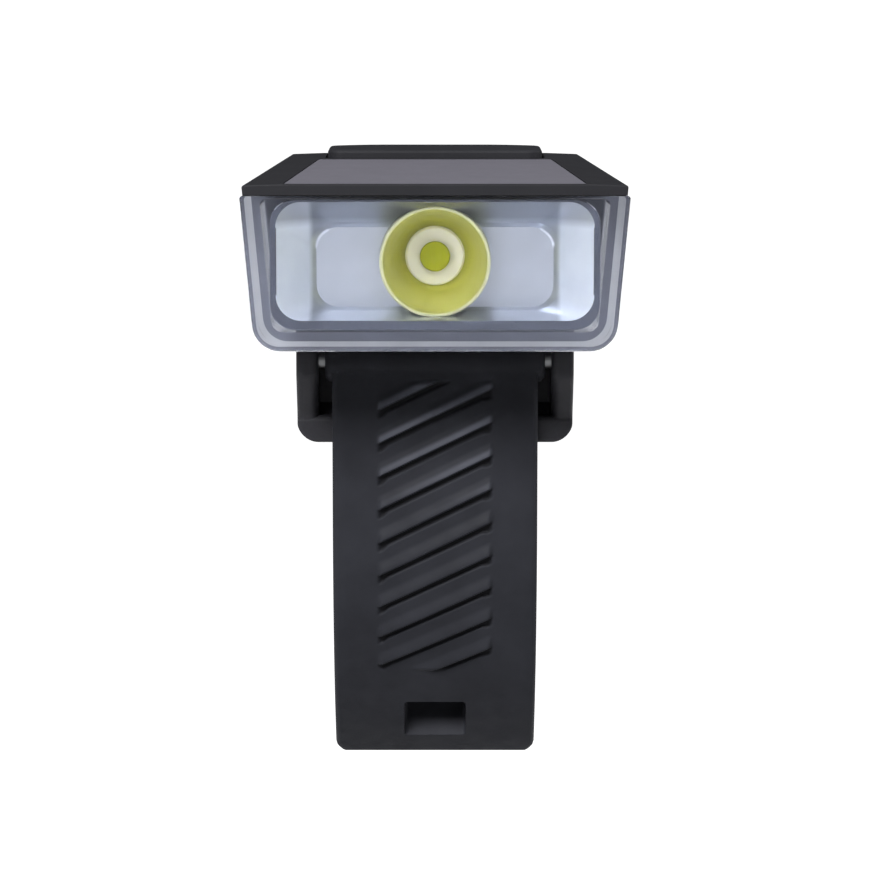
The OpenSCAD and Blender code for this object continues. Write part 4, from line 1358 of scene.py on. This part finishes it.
class LAMP_OT_saddle(bpy.types.Operator):
    """Saddle on the handlebar: wall, deck, cheeks, lip and hook, with its strap pin"""

    bl_idname = "lamp.saddle"
    bl_label = "Saddle"

    def body_outline(self, bore, rim, lip_y, lip_z, front):
        """Saddle's outline from the side: lip, front wall, deck, rear wall and bore."""
        skirt = SADDLE_LOW.z
        deck = SADDLE_HIGH.z

        def rim_angle(height):
            """Angle round the bar at which the saddle's wall reaches a height, in degrees."""
            return math.degrees(math.asin(height / rim))

        deck_meet = rim_angle(math.sqrt(rim ** 2 - front ** 2))
        foot = math.degrees(math.asin(skirt / bore))
        corners = [(lip_y, skirt), (lip_y, lip_z)]
        corners += arc((0, 0), rim, 180 - rim_angle(lip_z), 180 - deck_meet, 6)
        deck_at = len(corners)
        corners += [(front, deck), (-front, deck)]
        corners += arc((0, 0), rim, deck_meet, rim_angle(skirt), 5)
        heel_at = len(corners) - 1
        corners += arc((0, 0), bore, foot, 180 - foot, 64)
        rounded = {0: 0.5, 1: 0.8, deck_at: 0.5, deck_at + 1: 1.0, heel_at: 0.5}
        return fillet(corners, [rounded.get(k, 0) for k in range(len(corners))], 5)

    def hook_outline(self, heel_y):
        """Rear hook's outline from the side, sloping up to a round tip."""
        rise = 6.3
        root_half = 2.5
        tip_radius = 1.5
        tip_y = heel_y + 4.2
        tip_z = SADDLE_LOW.z + rise
        root_y = heel_y - 3
        root_z = SADDLE_LOW.z + 0.54 * rise
        slope = math.degrees(math.atan2(tip_z - root_z, tip_y - root_y))
        outline = [(root_y, root_z + root_half), (root_y, root_z - root_half)]
        return outline + arc((tip_y, tip_z), tip_radius, slope - 90, slope + 90, 14)

    def execute(self, context):
        bore = size("bar_radius") + size("liner")
        rim = bore + size("saddle_wall")
        skirt = SADDLE_LOW.z
        deck = SADDLE_HIGH.z
        half = SADDLE_HIGH.x
        lip_z = skirt + size("lip")
        lip_y = -math.sqrt(rim ** 2 - skirt ** 2)
        front = PIN_Y + size("root_radius") + size("free_gap")
        shy = 0.04
        body = self.body_outline(bore, rim, lip_y, lip_z, front)
        saddle = make("saddle_frame", slab(body, -half + shy, half - shy, edge=0.3, plane="YZ"))

        cheek_y = PIN_Y - PIN_RADIUS - 1.6
        cheek_back = front + 2
        cheek = fillet([
            (cheek_back, deck - shy), (cheek_y, deck - shy), (cheek_y, PIN_Z - 2),
            (lip_y + shy, lip_z), (lip_y + shy, skirt + shy), (cheek_back, skirt + shy),
        ], [0, 2.7, 2.0, 1.5, 1.4, 0], 8)
        inner = half - size("cheek")
        hook_half = 3.2
        join(
            saddle,
            slab(cheek, inner, half, edge=0.5, edge_low=1.1, plane="YZ"),
            slab(cheek, -half, -inner, edge=1.1, edge_low=0.5, plane="YZ"),
            slab(self.hook_outline(-lip_y), -hook_half, hook_half, edge=0.6, plane="YZ"),
        )

        corner = size("skirt_corner")
        reach = 40
        wide = half + 0.1
        bound = [(-wide, skirt), (wide, skirt), (wide, deck + OVER), (-wide, deck + OVER)]
        rounded = slab(fillet(bound, [corner, corner, 0, 0], 10), -reach, reach, edge=0, plane="XZ")
        combine(saddle, make("rounding", rounded), "INTERSECT")
        pin_hole = PIN_RADIUS + 0.05
        boss_hole = 6.06
        pocket = 8.3
        pocket_top = 19.5
        carve(
            saddle,
            rod(bore, -reach, reach, ORIGIN, "X", chamfer=0.01, around=180),
            rod(pin_hole, -reach, reach, PIN_CENTRE, "X", chamfer=0.01, around=40),
            rod(boss_hole, skirt, deck + 3, ORIGIN, "Z", chamfer=0.01, around=72),
            rod(pocket, skirt, pocket_top, ORIGIN, "Z", chamfer=0.01, around=72),
        )
        finish = moulded(
            "saddle_black", colour("saddle"), rough=0.5, grain=0.5, depth=0.02, specular=0.12, pebbled=True,
        )
        fit(saddle, "saddle", "saddle_black", finish, "bracket_base", angle=32)

        pin = make("strap_pin_rod", rod(PIN_RADIUS, PIN_LOW.x, PIN_HIGH.x, PIN_CENTRE, "X", chamfer=0.25))
        dark = scaled(colour("steel"), 0.16)
        turned = metal("strap_pin_steel", dark, rough=0.4, grain=0.3, depth=0.004, stretch=(0.2, 1, 1))
        fit(pin, "saddle", "steel", turned, "strap_pin")
        return {"FINISHED"}


class LAMP_OT_liner(bpy.types.Operator):
    """Rubber liner on the handlebar, with grip ribs set along its bore"""

    bl_idname = "lamp.liner"
    bl_label = "Liner"

    def rib_tree(self):
        """Node tree that lays one round rib across the bore at each point."""
        shape = NodeShape("grip_ribs")
        bead = shape.node("GeometryNodeMeshCylinder", {
            "Vertices": 16, "Radius": shape.input("Rib Radius"), "Depth": shape.input("Rib Length"),
        })
        laid = shape.node("GeometryNodeTransform", {
            "Geometry": bead.outputs["Mesh"], "Rotation": (0.0, math.pi / 2, 0.0),
        })
        placed = shape.node("GeometryNodeInstanceOnPoints", {
            "Points": shape.entry.outputs["Geometry"], "Instance": laid.outputs["Geometry"],
        })
        shape.close(placed.outputs["Instances"])
        return shape

    def execute(self, context):
        bar = size("bar_radius")
        rib = size("liner_rib")
        bore = bar + rib
        outer = LINER_HIGH.z
        floor = LINER_LOW.z
        half = LINER_HIGH.x
        first = math.degrees(math.asin(floor / outer))
        second = math.degrees(math.asin(floor / bore))
        outline = arc((0, 0), outer, first, 180 - first, 72)
        outline += arc((0, 0), bore, 180 - second, second, 72)
        liner = make("bar_liner", slab(outline, -half, half, edge=0.3, plane="YZ"))
        finish = moulded(
            "liner_rubber", colour("rubber"), rough=0.62, grain=0.3, depth=0.015, blotch=0.1,
        )

        radius = 0.75 * rib
        start = second + 3
        end_gap = 1.2
        count = context.scene.lamp_sizes.liner_rib_count
        turns = arc((0, 0), bar + radius, start, 180 - start, count - 1)
        ribs = make("liner_grip_ribs", ([(0, y, z) for y, z in turns], []))
        self.rib_tree().grow(
            ribs, Rib_Radius=radius * MM, Rib_Length=(2 * half - 2 * end_gap) * MM, Finish=finish,
        )
        fit(ribs, "saddle", "liner_rubber", finish)
        fit(liner, "saddle", "liner_rubber", finish, "bar_pad", angle=32)
        return {"FINISHED"}


class LAMP_OT_strap(bpy.types.Operator):
    """Ribbed rubber strap with its curl, thick end and window"""

    bl_idname = "lamp.strap"
    bl_label = "Strap"

    # Spacing of the points where the ribs are raised, and the corner radius of the strap's end
    fine = 0.14
    corner = 2

    def strap_tree(self):
        """Node tree that raises slanted ribs on a flat strap and then curls it."""
        shape = NodeShape("ribbed_strap")
        pitch = shape.input("Rib Pitch")
        first = shape.input("First Rib")
        last = shape.input("Last Rib")
        lean = shape.input("Rib Lean")
        wide = shape.input("Rib Width")
        tall = shape.input("Rib Height")
        deep = shape.input("Crease Depth")
        patch = shape.input("Patch Half Width")
        curl = shape.input("Curl Radius")
        curl_z = shape.input("Curl Start")
        face_y = shape.input("Front Face")
        soft = 0.35 * MM
        position = shape.node("GeometryNodeInputPosition").outputs["Position"]
        parts = shape.node("ShaderNodeSeparateXYZ", {"Vector": position}).outputs
        x, along, height = parts["X"], parts["Y"], parts["Z"]

        # How far below the nearest rib's line a point lies
        slanted = shape.math("MULTIPLY_ADD", x, shape.math("TANGENT", lean), along)
        run = shape.less(slanted, first)
        steps = shape.math("DIVIDE", shape.less(last, first), pitch)
        nearest = shape.math("ROUND", shape.math("DIVIDE", run, pitch))
        index = shape.math("MINIMUM", shape.math("MAXIMUM", nearest, 0.0), shape.math("ROUND", steps))
        off = shape.less(run, shape.times(index, pitch))
        off = shape.times(off, shape.math("COSINE", lean))

        # The rib's sloping face, and the crease under it, which widens towards the patch's sides
        margin = shape.less(patch, shape.math("ABSOLUTE", x))
        ramp = shape.soft_step(off, shape.times(wide, -1.0), -0.1 * MM)
        crest = shape.times(ramp, shape.soft_step(off, 0.18 * MM, -0.05 * MM))
        flare = shape.times(shape.soft_step(margin, 1.3 * MM, 0.3 * MM), 0.3 * MM)
        foot = shape.add(flare, 0.6 * MM)
        under = shape.soft_step(off, 0.02 * MM, 0.25 * MM)
        crease = shape.times(under, shape.soft_step(off, shape.add(foot, 0.3 * MM), foot))
        rise = shape.less(shape.times(tall, crest), shape.times(deep, crease))

        # The band on the upper ribs' faces that gets a painted highlight
        early = shape.math("MULTIPLY_ADD", pitch, 0.8, first)
        late = shape.math("MULTIPLY_ADD", pitch, 4.4, first)
        band_top = shape.soft_step(off, -1.05 * MM, -0.45 * MM)
        band_foot = shape.soft_step(off, 0.05 * MM, -0.12 * MM)
        painted_rib_highlight = shape.times(shape.times(band_top, band_foot), shape.soft_step(along, late, early))
        # Painted light for the strap's finish: the painted highlight on the band, less the painted shade in
        # the crease
        painted_rib_light = shape.less(painted_rib_highlight, crease)

        inside = shape.soft_step(margin, -soft, soft)
        begun = shape.soft_step(along, shape.less(first, soft), shape.add(first, soft))
        over = shape.soft_step(along, shape.add(last, soft), shape.less(last, soft))
        front = shape.node("GeometryNodeInputNamedAttribute", {"Name": "front"}, data_type="FLOAT")
        for mask in (inside, begun, over, front.outputs["Attribute"]):
            rise = shape.times(rise, mask)
            painted_rib_light = shape.times(painted_rib_light, mask)
        marked = shape.node("GeometryNodeStoreNamedAttribute", {
            "Geometry": shape.entry.outputs["Geometry"], "Name": "painted_rib_light", "Value": painted_rib_light,
        }, data_type="FLOAT", domain="POINT")

        # The curl, below a straight upper end
        radius = shape.add(curl, shape.add(height, rise))
        turn = shape.math("DIVIDE", shape.math("MAXIMUM", along, 0.0), curl)
        swung = shape.times(radius, shape.math("SINE", turn))
        drop = shape.add(shape.math("MINIMUM", along, 0.0), swung)
        back = shape.times(radius, shape.math("COSINE", turn))
        bent_y = shape.less(shape.add(face_y, curl), back)
        moved = shape.node("GeometryNodeSetPosition", {
            "Geometry": marked.outputs["Geometry"],
            "Position": shape.vector(x, bent_y, shape.less(curl_z, drop)),
        })
        shape.close(moved.outputs["Geometry"])
        return shape

    def columns(self, half, edge):
        """Places across the front face, close together on the ribbed patch."""
        coarse = 4
        rim = size("rib_patch") / 2 + 0.8
        side = [-half + edge + (half - edge - rim) * k / coarse for k in range(coarse)]
        count = round(2 * rim / self.fine)
        middle = [-rim + 2 * rim * k / count for k in range(count + 1)]
        return side + middle + [-x for x in reversed(side)]

    def rows(self, top, first, last, end):
        """Places along the strap, close together on the ribs and at the rounded end."""
        lead = 1
        step = 0.4
        places = [top + k for k in range(int(first - lead - top))]
        ribbed = last - first + 2 * lead
        count = round(ribbed / self.fine)
        places += [first - lead + ribbed * k / count for k in range(count + 1)]
        s = last + lead + 0.5
        while s < end - self.corner - 0.2:
            places.append(s)
            s += step
        return places + [end - self.corner * back for back, _ in quarter(12)]

    def flat_strap(self, top, first, last, end):
        """Rings of the strap laid flat, its end swollen behind, and marks of its front face."""
        half = size("strap_width") / 2
        thick = size("strap_thick")
        edge = size("strap_edge")
        bulge = size("tail_thick") - thick
        bulge_start = end - 13.2
        bulge_end = end - 0.6
        bulge_half = 11.9
        columns = self.columns(half, edge)
        side = arc((half - edge, edge), edge, -60, 0, 2)
        side.append((half, thick / 2))
        side += arc((half - edge, thick - edge), edge, 0, 90, 3)
        backs = [12, 11.75, 11.4, 11, 8, 5, 2.5]
        backs += [0] + [-x for x in reversed(backs)]

        def ease(value):
            """Smooth step from 0 to 1."""
            value = min(max(value, 0), 1)
            return value * value * (3 - 2 * value)

        def rounding(s, radius):
            """How far the rounding of the strap's end has gone at a place along it."""
            past = max(s - (end - radius), 0)
            return radius - math.sqrt(max(radius * radius - past * past, 0))

        rings = []
        marks = []
        for s in self.rows(top, first, last, end):
            wide = (half - rounding(s, self.corner)) / half
            thin = rounding(s, edge)
            swell = bulge * ease((s - bulge_start) / 1.6) * ease((bulge_end - s) / 1.4)
            bend = [(x * wide, s, -min(max(deep, thin), thick - thin)) for x, deep in side]
            ring = [(x * wide, s, -thin) for x in columns] + bend
            for x in backs:
                ring.append((x * wide, s, -(thick - thin) - swell * ease((bulge_half - abs(x)) / 0.9)))
            ring += [(-x, y, z) for x, y, z in reversed(bend)]
            rings.append(ring)
            marks += [1.0] * len(columns) + [0.0] * (len(ring) - len(columns))
        return rings, marks

    def window_form(self, face_y, end):
        """Form of the window through the strap's end, turned to the curl there."""
        margin = 4
        reach = 11
        curl = size("curl_radius")
        half = size("window_width") / 2
        tilt = math.radians(60)
        turn = (end - margin - size("window_length") / 2) / curl
        y0 = face_y + curl - curl * math.cos(turn)
        z0 = size("curl_start") - curl * math.sin(turn)
        tall = size("window_length") * math.cos(tilt - turn) / 2
        verts, faces = slab(rectangle(-half, -tall, half, tall, 0.5, 5), -reach, reach, edge=0, plane="XZ")
        cosine, sine = math.cos(tilt), math.sin(tilt)
        return [(x, y0 + y * cosine - z * sine, z0 + y * sine + z * cosine) for x, y, z in verts], faces

    def execute(self, context):
        sizes = context.scene.lamp_sizes
        root = size("root_radius")
        curl = size("curl_radius")
        curl_z = size("curl_start")
        pitch = size("rib_pitch")
        face_y = PIN_Y - root + 0.2
        end = curl * sizes.curl_end
        first = curl_z - (PIN_Z - root + 0.2)
        last = first + pitch * (sizes.rib_count - 1)
        rings, marks = self.flat_strap(curl_z - PIN_Z, first, last, end)
        verts, faces = skin(rings)
        mesh = bpy.data.meshes.new("rubber_strap")
        mesh.from_pydata([Vector(v) * MM for v in verts], [], faces)
        mesh.attributes.new("front", "FLOAT", "POINT").data.foreach_set("value", marks)
        strap = bpy.data.objects.new("rubber_strap", mesh)
        context.scene.collection.objects.link(strap)

        finish = strap_finish()
        self.strap_tree().grow(
            strap, Rib_Pitch=pitch * MM, First_Rib=first * MM, Last_Rib=last * MM,
            Rib_Lean=sizes.rib_slant, Rib_Width=sizes.rib_width, Rib_Height=sizes.rib_height,
            Crease_Depth=sizes.rib_crease, Patch_Half_Width=sizes.rib_patch / 2,
            Curl_Radius=curl * MM, Curl_Start=curl_z * MM, Front_Face=face_y * MM, Finish=finish,
        )
        work = bmesh.new()
        work.from_mesh(strap.data)
        bmesh.ops.remove_doubles(work, verts=work.verts, dist=MERGE)
        bmesh.ops.recalc_face_normals(work, faces=work.faces)
        work.to_mesh(strap.data)
        work.free()

        reach = 40
        pin_hole = PIN_RADIUS + 0.06
        carve(strap, self.window_form(face_y, end))
        join(strap, rod(root, STRAP_LOW.x, STRAP_HIGH.x, PIN_CENTRE, "X", chamfer=0.5, around=72))
        carve(strap, rod(pin_hole, -reach, reach, PIN_CENTRE, "X", chamfer=0.01, around=40))
        fit(strap, "strap_body", "strap_rubber", finish, "strap", angle=50)
        return {"FINISHED"}


class LAMP_OT_fasteners(bpy.types.Operator):
    """Case screws under the head and the screws of the LED board"""

    bl_idname = "lamp.fasteners"
    bl_label = "Screws"

    def screw_tree(self):
        """Node tree that sets one screw with a cross recess on each point."""
        shape = NodeShape("screw_set")
        outer = shape.input("Head Radius")
        inner = shape.input("Neck Radius")
        tall = shape.input("Head Height")
        shank = shape.input("Shank Length")
        slot = shape.input("Recess Width")
        turn = shape.input("Turn", "NodeSocketRotation")
        head = shape.node("GeometryNodeMeshCone", {
            "Vertices": 40, "Radius Bottom": outer, "Radius Top": inner, "Depth": tall,
        })
        reach = shape.times(outer, 1.3)
        deep = shape.times(tall, 1.1)
        cut = shape.node("GeometryNodeMeshBoolean", {
            "Mesh 1": head.outputs["Mesh"],
        }, operation="DIFFERENCE")
        for along, across in ((reach, slot), (slot, reach)):
            bar = shape.node("GeometryNodeMeshCube", {"Size": shape.vector(along, across, deep)})
            shape.feed(cut.inputs["Mesh 2"], bar.outputs["Mesh"])
        stem = shape.node("GeometryNodeMeshCylinder", {"Vertices": 32, "Radius": inner, "Depth": shank})
        middle = shape.math("MULTIPLY_ADD", shank, 0.5, shape.times(tall, 0.9))
        raised = shape.node("GeometryNodeTransform", {
            "Geometry": stem.outputs["Mesh"], "Translation": shape.vector(z=middle),
        })
        whole = shape.node("GeometryNodeJoinGeometry")
        shape.feed(whole.inputs["Geometry"], cut.outputs["Mesh"])
        shape.feed(whole.inputs["Geometry"], raised.outputs["Geometry"])
        placed = shape.node("GeometryNodeInstanceOnPoints", {
            "Points": shape.entry.outputs["Geometry"], "Instance": whole.outputs["Geometry"],
            "Rotation": turn,
        })
        shape.close(placed.outputs["Instances"])
        return shape

    def execute(self, context):
        tree = self.screw_tree()
        screws = make("case_screw_set", ([(x, y, SCREW_LOW.z) for x, y in screw_places()], []))
        black = metal("screw_black", (0.05, 0.05, 0.055, 1.0), rough=0.4, grain=0.3, depth=0.004)
        tree.grow(
            screws, Head_Radius=SCREW_HEAD * MM, Neck_Radius=1.0 * MM, Head_Height=1.2 * MM,
            Shank_Length=(SCREW_HIGH.z - SCREW_LOW.z - 1.1) * MM, Recess_Width=0.55 * MM,
            Turn=(0.0, 0.0, 0.0), Finish=black,
        )
        fit(screws, "lamp_head", "screw_black", black, "case_screws")

        small_head = 1.7
        reach = BOARD_SCREW_HIGH.x - small_head
        spots = [(x, BOARD_SCREW_LOW.y, LED_Z) for x in (reach, -reach)]
        small = make("board_screw_set", (spots, []))
        steel = metal("board_screw_steel", colour("steel"), rough=0.3, grain=0.3, depth=0.004)
        tree.grow(
            small, Head_Radius=small_head * MM, Neck_Radius=0.9 * MM, Head_Height=0.9 * MM,
            Shank_Length=(BOARD_SCREW_HIGH.y - BOARD_SCREW_LOW.y - 0.85) * MM, Recess_Width=0.45 * MM,
            Turn=(-math.pi / 2, 0.0, 0.0), Finish=steel,
        )
        fit(small, "lamp_head", "steel", steel, "board_screws")
        return {"FINISHED"}


class LAMP_OT_inside(bpy.types.Operator):
    """Finishes of the pieces inside the head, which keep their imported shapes"""

    bl_idname = "lamp.inside"
    bl_label = "Inner pieces"

    # Node, name of its finish, colour, roughness, and grain and depth of the texture in millimetres
    plastics = (
        ("led_leads", "lead_red", (0.28, 0.012, 0.010, 1.0), 0.45, 0.3, 0.01),
        ("battery_leads", "lead_black", (0.012, 0.012, 0.012, 1.0), 0.45, 0.3, 0.01),
        ("tact_switch", "switch_black", (0.02, 0.02, 0.02, 1.0), 0.4, 0.2, 0.006),
        ("switch_plunger", "plunger_black", (0.016, 0.016, 0.017, 1.0), 0.45, 0.2, 0.006),
        ("usb_tongue", "tongue_black", (0.014, 0.014, 0.014, 1.0), 0.4, 0.2, 0.006),
        ("battery_tape", "tape_white", (0.62, 0.58, 0.48, 1.0), 0.75, 0.25, 0.03),
    )
    # The same for metals, then the stretch of their marks and how metallic they are
    metals = (
        ("heat_sink", "sink_aluminium", (0.62, 0.64, 0.67, 1.0), 0.4, 0.4, 0.01, (1, 1, 0.1), 1.0),
        ("battery_pack", "battery_foil", (0.30, 0.40, 0.52, 1.0), 0.38, 1.8, 0.12, (1, 1, 1), 0.6),
    )
    # Node, name of its finish, colour of the board and of its tracks
    boards = (
        ("led_board", "core_board", (0.75, 0.75, 0.72, 1.0), (0.62, 0.62, 0.58, 1.0)),
        ("main_board", "board_green", (0.012, 0.075, 0.035, 1.0), (0.035, 0.14, 0.06, 1.0)),
    )

    def execute(self, context):
        steel = metal("steel", colour("steel"), rough=0.32, grain=0.4, depth=0.004, stretch=(1, 0.3, 1))
        dress("swivel_washer", steel)
        dress("swivel_screw", steel)
        for rows, maker in ((self.boards, circuit), (self.metals, metal), (self.plastics, moulded)):
            for node, *look in rows:
                dress(node, maker(*look))
        return {"FINISHED"}


class LAMP_PT_panel(bpy.types.Panel):
    """Lists the lamp's pieces with their sizes and colours"""

    bl_label = "Handlebar lamp"
    bl_idname = "LAMP_PT_panel"
    bl_space_type = "VIEW_3D"
    bl_region_type = "UI"
    bl_category = "Lamp"

    def draw(self, context):
        for step in STEPS:
            self.layout.operator(step.bl_idname)
        for group in (context.scene.lamp_sizes, context.scene.lamp_colours):
            column = self.layout.column(align=True)
            for name in group.bl_rna.properties.keys():
                if name not in {"rna_type", "name"}:
                    column.prop(group, name)


STEPS = (
    LAMP_OT_stage, LAMP_OT_case, LAMP_OT_cover, LAMP_OT_front, LAMP_OT_reflector, LAMP_OT_led,
    LAMP_OT_button, LAMP_OT_port, LAMP_OT_saddle, LAMP_OT_liner, LAMP_OT_strap,
    LAMP_OT_fasteners, LAMP_OT_inside,
)
CLASSES = (LampSizes, LampColours, *STEPS, LAMP_PT_panel)


def register():
    """Registers the classes and puts the sizes and colours on the scene."""
    for made in CLASSES:
        bpy.utils.register_class(made)
    bpy.types.Scene.lamp_sizes = bpy.props.PointerProperty(type=LampSizes)
    bpy.types.Scene.lamp_colours = bpy.props.PointerProperty(type=LampColours)


def unregister():
    """Takes the sizes, colours and classes away again."""
    del bpy.types.Scene.lamp_colours
    del bpy.types.Scene.lamp_sizes
    for made in reversed(CLASSES):
        bpy.utils.unregister_class(made)


def main():
    """Makes the stage and every piece in order."""
    register()
    bpy.ops.lamp.stage()
    bpy.ops.lamp.case()
    bpy.ops.lamp.cover()
    bpy.ops.lamp.front()
    bpy.ops.lamp.reflector()
    bpy.ops.lamp.led()
    bpy.ops.lamp.button()
    bpy.ops.lamp.port()
    bpy.ops.lamp.saddle()
    bpy.ops.lamp.liner()
    bpy.ops.lamp.strap()
    bpy.ops.lamp.fasteners()
    bpy.ops.lamp.inside()


if __name__ == "__main__":
    main()
